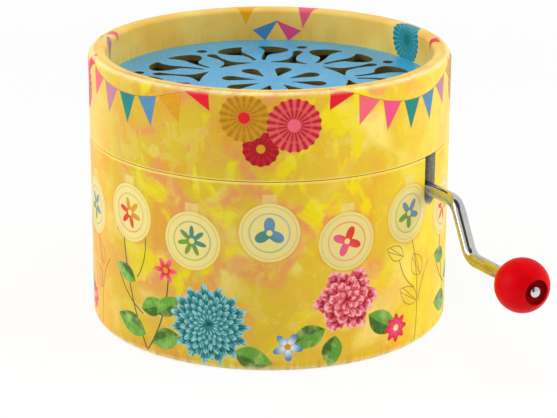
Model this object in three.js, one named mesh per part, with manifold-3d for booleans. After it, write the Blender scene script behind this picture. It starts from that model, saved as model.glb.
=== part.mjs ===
// Hand crank music box: a round card case with a lift-off lid, and a pinned drum movement inside.
// Frame: millimetres, +Z up, origin at the centre of the underside, crank shaft along +X.
import * as THREE from "three";
import { mergeVertices } from "three/addons/utils/BufferGeometryUtils.js";
import Module from "manifold-3d";

const wasm = await Module();
wasm.setup();

// Card case
const caseRadius = 35;
const tubeWall = 2;
const glueGap = 0.3;
const collarWall = 1.4;
const rimWall = 1.1;
const footRound = 1.3;
const lipOuterRound = 1.5;
const lipInnerRound = 0.9;
const baseDiscThickness = 2;
const slotHeadroom = 6.5;
const collarRise = 4.8;
const seamGap = 0.2;
const lidHeight = 16.5;
const recessDepth = 6.6;
const grilleThickness = 1.2;
const linerGap = 0.3;
const plinthHeight = 8.7;
const plinthGap = 0.5;
const slotWidth = 3.7;
const slotDrop = 3.1;
const collarSlotMargin = 0.7;

// Grille pattern
const plainBorder = 2.3;
const petalCount = 8;
const patternTurn = THREE.MathUtils.degToRad(3.9);
const patternOffCentre = 1.7;

// Movement: bedplate and bearings
const bedThickness = 2;
const bedMargin = 0.6;
const bedEdgeGap = 1.2;
const underDrumGap = 1.1;
const uprightThickness = 2;
const uprightWidth = 8;
const uprightHead = 3.2;
const runGap = 0.4;
const boreGap = 0.15;
const screwHeadRadius = 1.9;
const screwHeadHeight = 1.2;
const screwShankRadius = 0.9;
const screwHoleGap = 0.3;
const screwBite = 4.5;
const screwEndGap = 0.4;
const screwCrownShare = 0.7;
const driverSlotWidth = 0.5;
const driverSlotDepth = 0.45;

// Movement: drum and comb
const drumAxisX = 2.4;
const drumRadius = 6.5;
const drumWall = 0.6;
const drumMargin = 1.35;
const drumEndGap = 0.8;
const drumEndThickness = 0.8;
const drumEndSpigot = 1.2;
const drumEndStep = 0.15;
const pinHeight = 0.7;
const pinRadius = 0.25;
const pinRows = 54;
const pinStride = 7;
const arborRadius = 1;
const arborHeadRadius = 1.6;
const arborHeadThickness = 0.8;
const toothCount = 18;
const toothPitch = 1.05;
const toothGap = 0.35;
const toothLength = 12.5;
const trebleShortening = 2.9;
const combTipGap = 0.35;
const combThickness = 1.1;
const combBaseLength = 6.6;
const combSideMargin = 0.3;
const combLedgeInset = 0.7;
const combScrewInset = 3;
const weightedTeeth = 7;
const weightLength = 3.4;
const weightDepth = 2.5;
const weightStep = 0.28;
const weightTipInset = 0.8;

// Movement: worm drive and bracket
const wheelTeeth = 15;
const gearModule = 0.85;
const toothAddendum = 0.75;
const toothDedendum = 0.95;
const pressureAngle = THREE.MathUtils.degToRad(20);
const wheelToothShare = 0.4;
const threadShare = 0.36;
const wheelWidth = 3.6;
const wheelHubLength = 2.2;
const wheelHubRadius = 2.6;
const wormPitchRadius = 2.9;
const threadHalfLength = 4.6;
const wormHubRadius = 2.3;
const earGap = 0.3;
const earClearance = 0.9;
const earThickness = 1.4;
const bracketWidth = 5;
const footLength = 4.3;
const footThickness = 1.2;
const strapGap = 0.4;
const strapThickness = 1.2;

// Crank and knob
const rodRadius = 1.3;
const rodTail = 1.2;
const crankStandoff = 9.1;
const armOut = 5.3;
const armDrop = 9.4;
const bendRadius = 3.4;
const handleLength = 16.2;
const knobRadius = 5;
const knobBoreGap = 0.2;
const knobBoreEnd = 1.8;
const recessRadius = 2;
const recessFloor = 3.5;
const pinShankRadius = 0.75;
const pinHeadRadius = 1.05;
const pinHeadTip = 4.6;
const knobPlay = 0.3;

// One overrun serves every cut, and one tolerance joins equal points.
const overrun = 1;
const weld = 1e-4;

// Counts of facets
const caseSegments = 72;
const turnSegments = 16;
const screwSegments = 12;
const drumSegments = 32;
const knobSegments = 28;
const pinSegments = 5;
const bendSteps = 7;
const roundSteps = 4;

// Sizes worked out from the driving dimensions
const tubeBore = caseRadius - tubeWall;
const nestRadius = tubeBore - glueGap;
const collarInner = nestRadius - collarWall;
const rimInner = nestRadius - rimWall;
const patternRadius = rimInner - plainBorder;
const plinthRadius = collarInner - plinthGap;
const bedLimit = plinthRadius - bedEdgeGap;
const bedBottomZ = baseDiscThickness + plinthHeight;

const pinTipRadius = drumRadius + pinHeight;
const pitchRadius = (gearModule * wheelTeeth) / 2;
const wheelTip = pitchRadius + toothAddendum;
const wheelRoot = pitchRadius - toothDedendum;
const wormTip = wormPitchRadius + toothAddendum;
const wormRoot = wormPitchRadius - toothDedendum;
const threadPitch = Math.PI * gearModule;
const drumAxisHeight = bedThickness + underDrumGap + Math.max(pinTipRadius, wheelTip);
const shaftHeight = drumAxisHeight + pitchRadius + wormPitchRadius;
const shaftZ = bedBottomZ + shaftHeight;
const drumLength = toothCount * toothPitch + 2 * drumMargin;
const uprightInner = drumLength / 2 + drumEndGap;
const uprightOuter = uprightInner + uprightThickness;
const shaftY = uprightOuter + runGap + wheelHubLength + wheelWidth / 2;

const baseHeight = shaftZ + slotHeadroom;
const collarTop = baseHeight + collarRise;
const lidBottomZ = baseHeight + seamGap;
const grilleTop = lidHeight - recessDepth;
const grilleBottom = grilleTop - grilleThickness;

const combTip = drumAxisX - pinTipRadius - combTipGap;
const combRoot = combTip - toothLength;
const combBack = combRoot - combBaseLength;
const combWidth = toothCount * toothPitch + 2 * combSideMargin;
const ledgeHeight = drumAxisHeight - combThickness / 2;
const earInner = wheelTip + earClearance;
const earOuter = earInner + earThickness;
const footOuter = earOuter + footLength;
const strapBottom = shaftHeight + wormTip + strapGap;
const strapTop = strapBottom + strapThickness;
const screwHole = screwShankRadius + screwHoleGap;

const wallExit = Math.sqrt(caseRadius ** 2 - shaftY ** 2);
const rodStart = drumAxisX - earOuter - rodTail;
const firstBend = wallExit + crankStandoff;
const secondBend = firstBend + armOut;
const knobCentre = secondBend + handleLength;

const material = (color, roughness, metalness) =>
  new THREE.MeshStandardMaterial({ color, roughness, metalness });
const finishes = {
  printedCard: material(0xf2cf4e, 0.42, 0),
  rawCard: material(0xa89a7c, 0.9, 0),
  rimCard: material(0xd9b253, 0.5, 0),
  grilleBlue: material(0x69b6dc, 0.35, 0),
  wood: material(0xb98d5c, 0.8, 0),
  castZinc: material(0xb9bcc0, 0.45, 0.9),
  brass: material(0xc9a44a, 0.35, 1),
  steel: material(0xc4c7cb, 0.3, 1),
  comb: material(0xaeb3b8, 0.25, 1),
  chrome: material(0xdadcde, 0.12, 1),
  redLacquer: material(0xd2111b, 0.15, 0),
};

// Solids

function solidOf(geometry) {
  const plain = geometry.index ? geometry.toNonIndexed() : geometry.clone();
  const bare = new THREE.BufferGeometry().setAttribute("position", plain.getAttribute("position"));
  const merged = mergeVertices(bare, weld);
  return new wasm.Manifold(
    new wasm.Mesh({
      numProp: 3,
      vertProperties: merged.getAttribute("position").array,
      triVerts: new Uint32Array(merged.index.array),
    }),
  );
}

const join = (first, ...others) => others.reduce((sum, next) => sum.add(next), first);
const cut = (body, ...tools) => tools.reduce((left, tool) => left.subtract(tool), body);

function meshOf(name, solid, finish) {
  const { vertProperties, triVerts } = solid.getMesh();
  const geometry = new THREE.BufferGeometry();
  geometry.setAttribute("position", new THREE.BufferAttribute(vertProperties, 3));
  geometry.setIndex(new THREE.BufferAttribute(triVerts, 1));
  geometry.computeVertexNormals();
  const mesh = new THREE.Mesh(geometry, finish);
  mesh.name = name;
  return mesh;
}

// A turned body about Z from [radius, height] points that run outside upwards.
function turned(profile, segments) {
  const points = profile.map(([radius, height]) => new THREE.Vector2(radius, height));
  return new THREE.LatheGeometry(points, segments).rotateX(Math.PI / 2);
}

// Turns a body that stands on Z so that it lies along X or along Y.
const alongX = (geometry) => geometry.rotateY(Math.PI / 2);
const alongY = (geometry) => geometry.rotateX(-Math.PI / 2);

function bar(radius, low, high, segments = turnSegments) {
  return turned([[0, low], [radius, low], [radius, high], [0, high]], segments);
}

function block(lowX, highX, lowY, highY, lowZ, highZ) {
  const geometry = new THREE.BoxGeometry(highX - lowX, highY - lowY, highZ - lowZ);
  return geometry.translate((lowX + highX) / 2, (lowY + highY) / 2, (lowZ + highZ) / 2);
}

function outline(points) {
  return new THREE.Shape(points.map(([x, y]) => new THREE.Vector2(x, y)));
}

// A flat plate on Z = low, from a shape in X and Y.
function plate(shape, low, thickness, curveSegments = roundSteps * 2) {
  const geometry = new THREE.ExtrudeGeometry(shape, { depth: thickness, bevelEnabled: false, curveSegments });
  return geometry.translate(0, 0, low);
}

// A standing plate: the shape's X and Y become X and Z, and its thickness spans lowY to highY.
function standingPlate(shape, lowY, highY) {
  return plate(shape, 0, highY - lowY).rotateX(Math.PI / 2).translate(0, highY, 0);
}

// Points of an arc, in radians, with both ends.
function arc(centreX, centreY, radius, start, end, steps) {
  const at = (i) => start + ((end - start) * i) / steps;
  return Array.from({ length: steps + 1 }, (_, i) => [
    centreX + radius * Math.cos(at(i)),
    centreY + radius * Math.sin(at(i)),
  ]);
}

// Joins rings of equally many points into one closed body, with a fan on each end.
function loft(rings) {
  const size = rings[0].length;
  const positions = rings.flat().flatMap((p) => p.toArray());
  const index = [];
  for (let i = 0; i + 1 < rings.length; i++) {
    for (let j = 0; j < size; j++) {
      const k = (j + 1) % size;
      index.push(i * size + j, i * size + k, (i + 1) * size + j);
      index.push(i * size + k, (i + 1) * size + k, (i + 1) * size + j);
    }
  }
  const middle = (ring) => ring.reduce((sum, p) => sum.add(p), new THREE.Vector3()).divideScalar(size);
  const first = positions.length / 3;
  positions.push(...middle(rings[0]).toArray(), ...middle(rings[rings.length - 1]).toArray());
  const last = (rings.length - 1) * size;
  for (let j = 0; j < size; j++) {
    const k = (j + 1) % size;
    index.push(first, k, j);
    index.push(first + 1, last + j, last + k);
  }
  const geometry = new THREE.BufferGeometry();
  geometry.setAttribute("position", new THREE.Float32BufferAttribute(positions, 3));
  return geometry.setIndex(index);
}

// Card case

// A tube's section, with a round on the foot and on both edges of the lip where they are given.
function tubeSection(outer, inner, low, high, foot = 0, lipOuter = 0, lipInner = 0) {
  const quarter = Math.PI / 2;
  const corner = (x, y, radius, start) =>
    radius > 0 ? arc(x, y, radius, start, start + quarter, roundSteps) : [[x, y]];
  const section = [
    ...corner(outer - foot, low + foot, foot, -quarter),
    ...corner(outer - lipOuter, high - lipOuter, lipOuter, 0),
    ...corner(inner + lipInner, high - lipInner, lipInner, quarter),
    [inner, low],
  ];
  return [...section, section[0]];
}

// The upright slot that the crank passes through, open at the top.
function slotCutter(width, bottomZ) {
  const half = width / 2;
  const top = lidBottomZ + collarRise + overrun;
  const shape = outline([
    [shaftY + half, top],
    [shaftY - half, top],
    ...arc(shaftY, bottomZ + half, half, -Math.PI, 0, roundSteps * 2),
  ]);
  const toX = new THREE.Matrix4().makeBasis(
    new THREE.Vector3(0, 1, 0),
    new THREE.Vector3(0, 0, 1),
    new THREE.Vector3(1, 0, 0),
  );
  return solidOf(plate(shape, 0, caseRadius + overrun).applyMatrix4(toX));
}

function makeCase() {
  const group = new THREE.Group();
  const slotBottom = shaftZ - slotDrop;

  const disc = bar(nestRadius, 0, baseDiscThickness, caseSegments);
  group.add(meshOf("base_disc", solidOf(disc), finishes.rawCard));

  const tube = solidOf(turned(tubeSection(caseRadius, tubeBore, 0, baseHeight, footRound), caseSegments));
  group.add(meshOf("base_tube", cut(tube, slotCutter(slotWidth, slotBottom)), finishes.printedCard));

  const collarSection = tubeSection(nestRadius, collarInner, baseDiscThickness, collarTop);
  const collar = solidOf(turned(collarSection, caseSegments));
  const collarSlot = slotCutter(slotWidth + 2 * collarSlotMargin, slotBottom - collarSlotMargin);
  group.add(meshOf("inner_collar", cut(collar, collarSlot), finishes.rawCard));

  const plinth = solidOf(bar(plinthRadius, baseDiscThickness, bedBottomZ, caseSegments));
  const screwDepth = screwBite + screwEndGap;
  const holes = hole(bedScrewPlaces(), bedBottomZ - screwDepth, bedBottomZ + overrun);
  group.add(meshOf("plinth", cut(plinth, ...holes), finishes.wood));
  return group;
}

// Grille: a rosette of drops inside a plain ring, then a band of leaves that the holes leave standing.
// The radius shares follow patternRadius, and the turns, in degrees, are counted from each hole's axis.
const dropTipShare = 0.115;
const dropEndShare = 0.353;
const dropHalfShare = 0.057;
const eyePlaceShare = 0.926;
const eyeRadiusShare = 0.037;
const neckHoleShares = [
  [0.483, 0],
  [0.485, 9],
  [0.494, 15.5],
  [0.536, 7.1],
  [0.573, 3.4],
  [0.676, 1.5],
  [0.748, 2.1],
  [0.797, 2.6],
  [0.83, 0],
];
const commaHoleShares = [
  [0.927, 3.6],
  [0.927, 9.5],
  [0.887, 15.2],
  [0.833, 17.4],
  [0.751, 14.2],
  [0.704, 8.2],
  [0.628, 5.5],
  [0.555, 4],
  [0.558, 2.3],
  [0.652, 3],
  [0.736, 4.6],
  [0.809, 5.6],
  [0.881, 4.6],
];
const holePoints = 22;

// A closed smooth hole through [radius share, degrees] points, turned about the centre.
function smoothHole(shares, turn, side = 1) {
  const corners = shares.map(([share, degrees]) => {
    const angle = turn + side * THREE.MathUtils.degToRad(degrees);
    const radius = share * patternRadius;
    return new THREE.Vector3(radius * Math.cos(angle), radius * Math.sin(angle), 0);
  });
  const curve = new THREE.CatmullRomCurve3(corners, true, "centripetal");
  const points = curve.getSpacedPoints(holePoints).slice(0, -1);
  return new THREE.Path(points.map((p) => new THREE.Vector2(p.x, p.y)));
}

// A drop with its tip towards the centre.
function dropHole(turn) {
  const tip = dropTipShare * patternRadius;
  const half = dropHalfShare * patternRadius;
  const centre = dropEndShare * patternRadius - half;
  const lean = Math.acos(half / (centre - tip));
  const points = [[tip, 0], ...arc(centre, 0, half, lean - Math.PI, Math.PI - lean, roundSteps * 2)];
  const middle = new THREE.Vector2(0, 0);
  return new THREE.Path(points.map(([x, y]) => new THREE.Vector2(x, y).rotateAround(middle, turn)));
}

function eyeHole(turn) {
  const place = eyePlaceShare * patternRadius;
  const radius = eyeRadiusShare * patternRadius;
  const [x, y] = [place * Math.cos(turn), place * Math.sin(turn)];
  const points = arc(x, y, radius, 0, 2 * Math.PI, holePoints / 2).slice(0, -1);
  return new THREE.Path(points.map((p) => new THREE.Vector2(...p)));
}

// The pattern is cut a little off the disc's centre, towards the crank's side.
function grilleGeometry() {
  const sector = (2 * Math.PI) / petalCount;
  const mirrored = neckHoleShares.slice(1, -1).map(([share, degrees]) => [share, -degrees]).reverse();
  const edge = arc(-patternOffCentre, 0, nestRadius, 0, 2 * Math.PI, caseSegments);
  const disc = outline(edge.slice(0, -1));
  for (let k = 0; k < petalCount; k++) {
    const turn = patternTurn + k * sector;
    const between = turn + sector / 2;
    disc.holes.push(
      dropHole(turn),
      eyeHole(turn),
      smoothHole([...neckHoleShares, ...mirrored], turn),
      smoothHole(commaHoleShares, between, 1),
      smoothHole(commaHoleShares, between, -1),
    );
  }
  return plate(disc, 0, grilleThickness).translate(patternOffCentre, 0, 0);
}

function makeLid() {
  const group = new THREE.Group();
  const tube = turned(tubeSection(caseRadius, tubeBore, 0, lidHeight, 0, lipOuterRound), caseSegments);
  group.add(meshOf("lid_tube", solidOf(tube), finishes.printedCard));
  const rimSection = tubeSection(nestRadius, rimInner, grilleTop, lidHeight, 0, 0, lipInnerRound);
  group.add(meshOf("rim_ring", solidOf(turned(rimSection, caseSegments)), finishes.rimCard));
  const grille = meshOf("grille_disc", solidOf(grilleGeometry()), finishes.grilleBlue);
  grille.position.z = grilleBottom;
  group.add(grille);
  const linerBottom = collarTop + linerGap - lidBottomZ;
  const liner = turned(tubeSection(nestRadius, collarInner, linerBottom, grilleBottom), caseSegments);
  group.add(meshOf("lid_liner", solidOf(liner), finishes.rawCard));
  group.position.z = lidBottomZ;
  return group;
}

// Movement

// A pan head screw: origin under the head, shank downwards, driver slot across the head.
function screwSolid(shankLength) {
  const body = turned(
    [
      [0, -shankLength],
      [screwShankRadius, -shankLength],
      [screwShankRadius, 0],
      [screwHeadRadius, 0],
      [screwHeadRadius, screwHeadHeight / 2],
      [screwHeadRadius * screwCrownShare, screwHeadHeight],
      [0, screwHeadHeight],
    ],
    screwSegments,
  );
  const reach = screwHeadRadius + overrun;
  const half = driverSlotWidth / 2;
  const floor = screwHeadHeight - driverSlotDepth;
  const driver = block(-reach, reach, -half, half, floor, screwHeadHeight + overrun);
  return cut(solidOf(body), solidOf(driver));
}

function addScrews(group, stem, places, seatZ, shankLength) {
  places.forEach(([x, y], i) => {
    const screw = meshOf(stem + "_" + (i + 1), screwSolid(shankLength), finishes.steel);
    screw.position.set(x, y, seatZ);
    group.add(screw);
  });
}

// The bedplate's outer edges before its corners are rounded to the plinth.
const bedLowX = combBack - bedMargin;
const bedHighX = drumAxisX + footOuter + bedMargin;
const bedLowY = -uprightOuter - bedMargin - screwHeadRadius;
const bedHighY = shaftY + bracketWidth / 2 + bedMargin;
const bedScrewShares = [[-0.54, -0.8], [0.8, -0.76], [0.82, 0.3], [-0.54, 0.6]];

function bedScrewPlaces() {
  const halfX = (bedHighX - bedLowX) / 2;
  const halfY = (bedHighY - bedLowY) / 2;
  return bedScrewShares.map(([u, v]) => [bedLowX + halfX * (1 + u), bedLowY + halfY * (1 + v)]);
}

const combScrewPlaces = [-1, 1].map((side) => [combBack + combScrewInset, (side * combWidth) / 4]);
const bracketScrewPlaces = [-1, 1].map((side) => [drumAxisX + side * (footOuter - footLength / 2), shaftY]);

const hole = (places, low, high) =>
  places.map(([x, y]) => solidOf(bar(screwHole, low, high, screwSegments).translate(x, y, 0)));

function uprightShape() {
  const half = uprightWidth / 2;
  return outline([
    [drumAxisX - half, bedThickness - overrun],
    [drumAxisX + half, bedThickness - overrun],
    ...arc(drumAxisX, drumAxisHeight, uprightHead, 0, Math.PI, roundSteps * 2),
  ]);
}

function makeBedplate() {
  const bed = solidOf(block(bedLowX, bedHighX, bedLowY, bedHighY, 0, bedThickness));
  const limit = solidOf(bar(bedLimit, -overrun, bedThickness + overrun, caseSegments));
  const ledgeHalf = combWidth / 2;
  const ledgeFront = combRoot - combLedgeInset;
  const ledgeFoot = bedThickness - overrun;
  const ledge = solidOf(block(combBack, ledgeFront, -ledgeHalf, ledgeHalf, ledgeFoot, ledgeHeight));
  const uprights = [-uprightOuter, uprightInner].map((low) =>
    solidOf(standingPlate(uprightShape(), low, low + uprightThickness)),
  );
  const arborBore = alongY(bar(arborRadius + boreGap, -uprightOuter - overrun, uprightOuter + overrun));
  const combScrewFloor = ledgeHeight + combThickness - screwBite - screwEndGap;
  return cut(
    join(bed.intersect(limit), ledge, ...uprights),
    solidOf(arborBore.translate(drumAxisX, 0, drumAxisHeight)),
    ...hole(combScrewPlaces, combScrewFloor, ledgeHeight + overrun),
    ...hole(bracketScrewPlaces, -overrun, bedThickness + overrun),
    ...hole(bedScrewPlaces(), -overrun, bedThickness + overrun),
  );
}

function makeComb() {
  const half = (toothPitch - toothGap) / 2;
  const centreOf = (j) => (j - (toothCount - 1) / 2) * toothPitch;
  const rootOf = (j) => combRoot + (trebleShortening * j) / (toothCount - 1);
  const points = [[combBack, -combWidth / 2], [combRoot, -combWidth / 2]];
  for (let j = 0; j < toothCount; j++) {
    const y = centreOf(j);
    points.push([rootOf(j), y - half], [combTip, y - half], [combTip, y + half], [rootOf(j), y + half]);
  }
  points.push([rootOf(toothCount - 1), combWidth / 2], [combBack, combWidth / 2]);
  let comb = solidOf(plate(outline(points), 0, combThickness));
  for (let j = 0; j < weightedTeeth; j++) {
    const y = centreOf(j);
    const front = combTip - weightTipInset;
    const back = front - weightLength + j * weightStep;
    const low = -weightDepth + j * weightStep;
    comb = comb.add(solidOf(block(back, front, y - half, y + half, low, combThickness / 2)));
  }
  return cut(comb, ...hole(combScrewPlaces, -overrun, combThickness + overrun));
}

function makeBracket() {
  const profile = outline([
    [footOuter, 0],
    [footOuter, footThickness],
    [earOuter, footThickness],
    [earOuter, strapTop - bedThickness],
    [-earOuter, strapTop - bedThickness],
    [-earOuter, footThickness],
    [-footOuter, footThickness],
    [-footOuter, 0],
    [-earInner, 0],
    [-earInner, strapBottom - bedThickness],
    [earInner, strapBottom - bedThickness],
    [earInner, 0],
  ]);
  const body = standingPlate(profile, -bracketWidth / 2, bracketWidth / 2);
  const shaftBore = alongX(bar(rodRadius + boreGap, drumAxisX - footOuter, drumAxisX + footOuter));
  return cut(
    solidOf(body.translate(drumAxisX, shaftY, bedThickness)),
    solidOf(shaftBore.translate(0, shaftY, shaftHeight)),
    ...hole(bracketScrewPlaces, bedThickness - overrun, bedThickness + footThickness + overrun),
  );
}

// Drum, on its arbor along Y, with the worm wheel outside the second upright.

function drumTube() {
  const half = drumLength / 2 - drumEndThickness;
  const bore = drumRadius - drumWall;
  let drum = solidOf(alongY(turned(tubeSection(drumRadius, bore, -half, half), drumSegments)));
  const goldenTurn = Math.PI * (3 - Math.sqrt(5));
  for (let k = 0; k < pinRows; k++) {
    const tooth = (k * pinStride) % toothCount;
    const y = (tooth - (toothCount - 1) / 2) * toothPitch;
    const pin = bar(pinRadius, drumRadius - drumWall / 2, pinTipRadius, pinSegments);
    drum = drum.add(solidOf(pin.rotateY(k * goldenTurn).translate(0, y, 0)));
  }
  return drum;
}

function drumEnd(side) {
  const spigot = drumRadius - drumWall - boreGap * 2;
  const hollow = arborRadius + boreGap;
  const flange = drumRadius - drumEndStep;
  const section = [
    [spigot, -drumEndSpigot],
    [spigot, 0],
    [flange, 0],
    [flange, drumEndThickness],
    [hollow, drumEndThickness],
    [hollow, -drumEndSpigot],
    [spigot, -drumEndSpigot],
  ];
  const geometry = alongY(turned(section, drumSegments)).translate(0, drumLength / 2 - drumEndThickness, 0);
  return side > 0 ? geometry : geometry.rotateZ(Math.PI);
}

function arborGeometry() {
  const headInner = -uprightOuter - runGap;
  const headOuter = headInner - arborHeadThickness;
  const end = shaftY + wheelWidth / 2 + runGap;
  const section = [
    [0, headOuter],
    [arborHeadRadius, headOuter],
    [arborHeadRadius, headInner],
    [arborRadius, headInner],
    [arborRadius, end],
    [0, end],
  ];
  return alongY(turned(section, turnSegments));
}

// The worm wheel's teeth lean with the thread, and a gap between teeth meets the thread at rest.
function wheelSolid() {
  const gapHalf = (threadPitch * (1 - wheelToothShare)) / 2;
  const slope = Math.tan(pressureAngle);
  const tipTurn = (gapHalf + toothAddendum * slope) / wheelTip;
  const rootTurn = (gapHalf - toothDedendum * slope) / wheelRoot;
  const step = (2 * Math.PI) / wheelTeeth;
  const lean = threadPitch / (2 * Math.PI * wormPitchRadius) / pitchRadius;
  const ringAt = (y) => {
    const points = [];
    for (let k = 0; k < wheelTeeth; k++) {
      const middle = k * step + y * lean;
      const corners = [
        [wheelRoot, middle - rootTurn],
        [wheelRoot, middle + rootTurn],
        [wheelTip, middle + tipTurn],
        [wheelTip, middle + step - tipTurn],
      ];
      corners.forEach(([radius, turn]) => {
        points.push(new THREE.Vector3(radius * Math.sin(turn), y, radius * Math.cos(turn)));
      });
    }
    return points;
  };
  const layers = [-0.5, 0, 0.5].map((share) => ringAt(share * wheelWidth));
  const hubLow = -wheelWidth / 2 - wheelHubLength;
  const hub = alongY(bar(wheelHubRadius, hubLow, wheelWidth / 2));
  const bore = alongY(bar(arborRadius + boreGap, hubLow - overrun, wheelWidth / 2 + overrun));
  return cut(join(solidOf(loft(layers)), solidOf(hub)), solidOf(bore));
}

function makeDrum() {
  const group = new THREE.Group();
  group.add(meshOf("drum", drumTube(), finishes.brass));
  group.add(meshOf("drum_end_left", solidOf(drumEnd(-1)), finishes.brass));
  group.add(meshOf("drum_end_right", solidOf(drumEnd(1)), finishes.brass));
  group.add(meshOf("drum_arbor", solidOf(arborGeometry()), finishes.steel));
  const wheel = meshOf("drum_wheel", wheelSolid(), finishes.brass);
  wheel.position.y = shaftY;
  group.add(wheel);
  group.position.set(drumAxisX, 0, drumAxisHeight);
  return group;
}

// Worm: a right-hand thread whose crest meets the wheel's gap straight below the shaft.
function wormSolid() {
  const stepsPerTurn = 16;
  const turns = (2 * threadHalfLength) / threadPitch;
  const steps = Math.round(turns * stepsPerTurn);
  const slope = Math.tan(pressureAngle);
  const middleHalf = (threadPitch * threadShare) / 2;
  const tipHalf = middleHalf - toothAddendum * slope;
  const footHalf = middleHalf + toothDedendum * slope;
  const sunk = wormRoot - boreGap;
  const rings = [];
  for (let i = 0; i <= steps; i++) {
    const turn = -Math.PI / 2 + ((i - steps / 2) / stepsPerTurn) * 2 * Math.PI;
    const x = (threadPitch * (turn + Math.PI / 2)) / (2 * Math.PI);
    const fade = Math.min(1, (Math.min(i, steps - i) + 1) / (stepsPerTurn / 2));
    const crest = sunk + (wormTip - sunk) * fade;
    const at = (offset, radius) =>
      new THREE.Vector3(x + offset, radius * Math.cos(turn), radius * Math.sin(turn));
    rings.push([at(-footHalf, sunk), at(footHalf, sunk), at(tipHalf, crest), at(-tipHalf, crest)]);
  }
  const reach = earInner - earGap;
  const threadEnd = threadHalfLength + footHalf;
  const core = turned(
    [
      [0, -reach],
      [wormHubRadius, -reach],
      [wormHubRadius, -threadEnd],
      [wormRoot, -threadHalfLength],
      [wormRoot, threadHalfLength],
      [wormHubRadius, threadEnd],
      [wormHubRadius, reach],
      [0, reach],
    ],
    turnSegments,
  );
  const bore = alongX(bar(rodRadius + boreGap, -reach - overrun, reach + overrun));
  return cut(join(solidOf(alongX(core)), solidOf(loft(rings))), solidOf(bore));
}

// A path of stretches that each take an equal share of the steps, so short bends stay round.
class SteppedPath extends THREE.Curve {
  constructor(stretches) {
    super();
    this.stretches = stretches;
  }

  getPoint(t, target = new THREE.Vector3()) {
    const along = t * this.stretches.length;
    const i = Math.min(Math.floor(along), this.stretches.length - 1);
    return this.stretches[i].getPoint(along - i, target);
  }

  getUtoTmapping(u) {
    return u;
  }
}

// Crank rod: straight through both ears and the worm, two bends, then the pin that the knob turns on.
function rodSolid() {
  const slant = Math.atan2(armDrop, armOut);
  const trim = bendRadius * Math.tan(slant / 2);
  const direction = new THREE.Vector3(armOut, 0, -armDrop).normalize();
  const right = new THREE.Vector3(1, 0, 0);
  const cornerA = new THREE.Vector3(firstBend, 0, 0);
  const cornerB = new THREE.Vector3(secondBend, 0, -armDrop);
  const beforeA = cornerA.clone().addScaledVector(right, -trim);
  const afterA = cornerA.clone().addScaledVector(direction, trim);
  const beforeB = cornerB.clone().addScaledVector(direction, -trim);
  const afterB = cornerB.clone().addScaledVector(right, trim);
  const shoulder = new THREE.Vector3(knobCentre + knobBoreEnd - knobPlay, 0, -armDrop);
  const extrudePath = new SteppedPath([
    new THREE.LineCurve3(new THREE.Vector3(rodStart, 0, 0), beforeA),
    new THREE.QuadraticBezierCurve3(beforeA, cornerA, afterA),
    new THREE.LineCurve3(afterA, beforeB),
    new THREE.QuadraticBezierCurve3(beforeB, cornerB, afterB),
    new THREE.LineCurve3(afterB, shoulder),
  ]);
  const steps = bendSteps * extrudePath.stretches.length;
  const round = outline(arc(0, 0, rodRadius, 0, 2 * Math.PI, turnSegments).slice(0, -1));
  const bent = new THREE.ExtrudeGeometry(round, { steps, bevelEnabled: false, extrudePath });

  const headLow = knobCentre + recessFloor + knobPlay;
  const headTip = knobCentre + pinHeadTip;
  const dome = (headTip - headLow) / 2;
  const diagonal = Math.PI / 4;
  const pin = turned(
    [
      [0, shoulder.x - rodRadius],
      [pinShankRadius, shoulder.x - rodRadius],
      [pinShankRadius, headLow],
      [pinHeadRadius, headLow],
      [pinHeadRadius, headTip - dome],
      [pinHeadRadius * Math.cos(diagonal), headTip - dome * (1 - Math.sin(diagonal))],
      [0, headTip],
    ],
    turnSegments,
  );
  return join(solidOf(bent), solidOf(alongX(pin).translate(0, 0, -armDrop)));
}

function knobGeometry() {
  const bore = rodRadius + knobBoreGap;
  const entry = -Math.acos(bore / knobRadius);
  const mouth = Math.acos(recessRadius / knobRadius);
  const webBore = pinShankRadius + knobBoreGap;
  const section = [
    ...arc(0, 0, knobRadius, entry, mouth, roundSteps * 3),
    [recessRadius, recessFloor],
    [webBore, recessFloor],
    [webBore, knobBoreEnd],
    [bore, knobBoreEnd],
  ];
  return alongX(turned([...section, section[0]], knobSegments));
}

function makeCrank() {
  const group = new THREE.Group();
  group.add(meshOf("crank_rod", rodSolid(), finishes.chrome));
  const worm = meshOf("worm", wormSolid(), finishes.brass);
  worm.position.x = drumAxisX;
  group.add(worm);
  const knob = meshOf("knob", solidOf(knobGeometry()), finishes.redLacquer);
  knob.position.set(knobCentre, 0, -armDrop);
  group.add(knob);
  group.position.set(0, shaftY, shaftHeight);
  return group;
}

function makeMovement() {
  const group = new THREE.Group();
  group.add(meshOf("bedplate", makeBedplate(), finishes.castZinc));
  const comb = meshOf("comb", makeComb(), finishes.comb);
  comb.position.z = ledgeHeight;
  group.add(comb);
  group.add(meshOf("crank_bracket", makeBracket(), finishes.steel));
  addScrews(group, "comb_screw", combScrewPlaces, ledgeHeight + combThickness, screwBite);
  const bracketBite = footThickness + bedThickness - screwEndGap;
  addScrews(group, "bracket_screw", bracketScrewPlaces, bedThickness + footThickness, bracketBite);
  addScrews(group, "bedplate_screw", bedScrewPlaces(), bedThickness, bedThickness + screwBite);
  group.add(makeDrum(), makeCrank());
  group.position.z = bedBottomZ;
  return group;
}

const group = new THREE.Group();
group.add(makeCase(), makeMovement(), makeLid());

export default group;
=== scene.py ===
"""Dresses the packed music box.

A printed card case, a pierced blue disc, a bright crank and the movement inside.
"""

import math

import bmesh
import bpy
from bpy.props import FloatProperty, FloatVectorProperty, IntProperty, PointerProperty
from mathutils import Matrix, Vector


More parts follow.
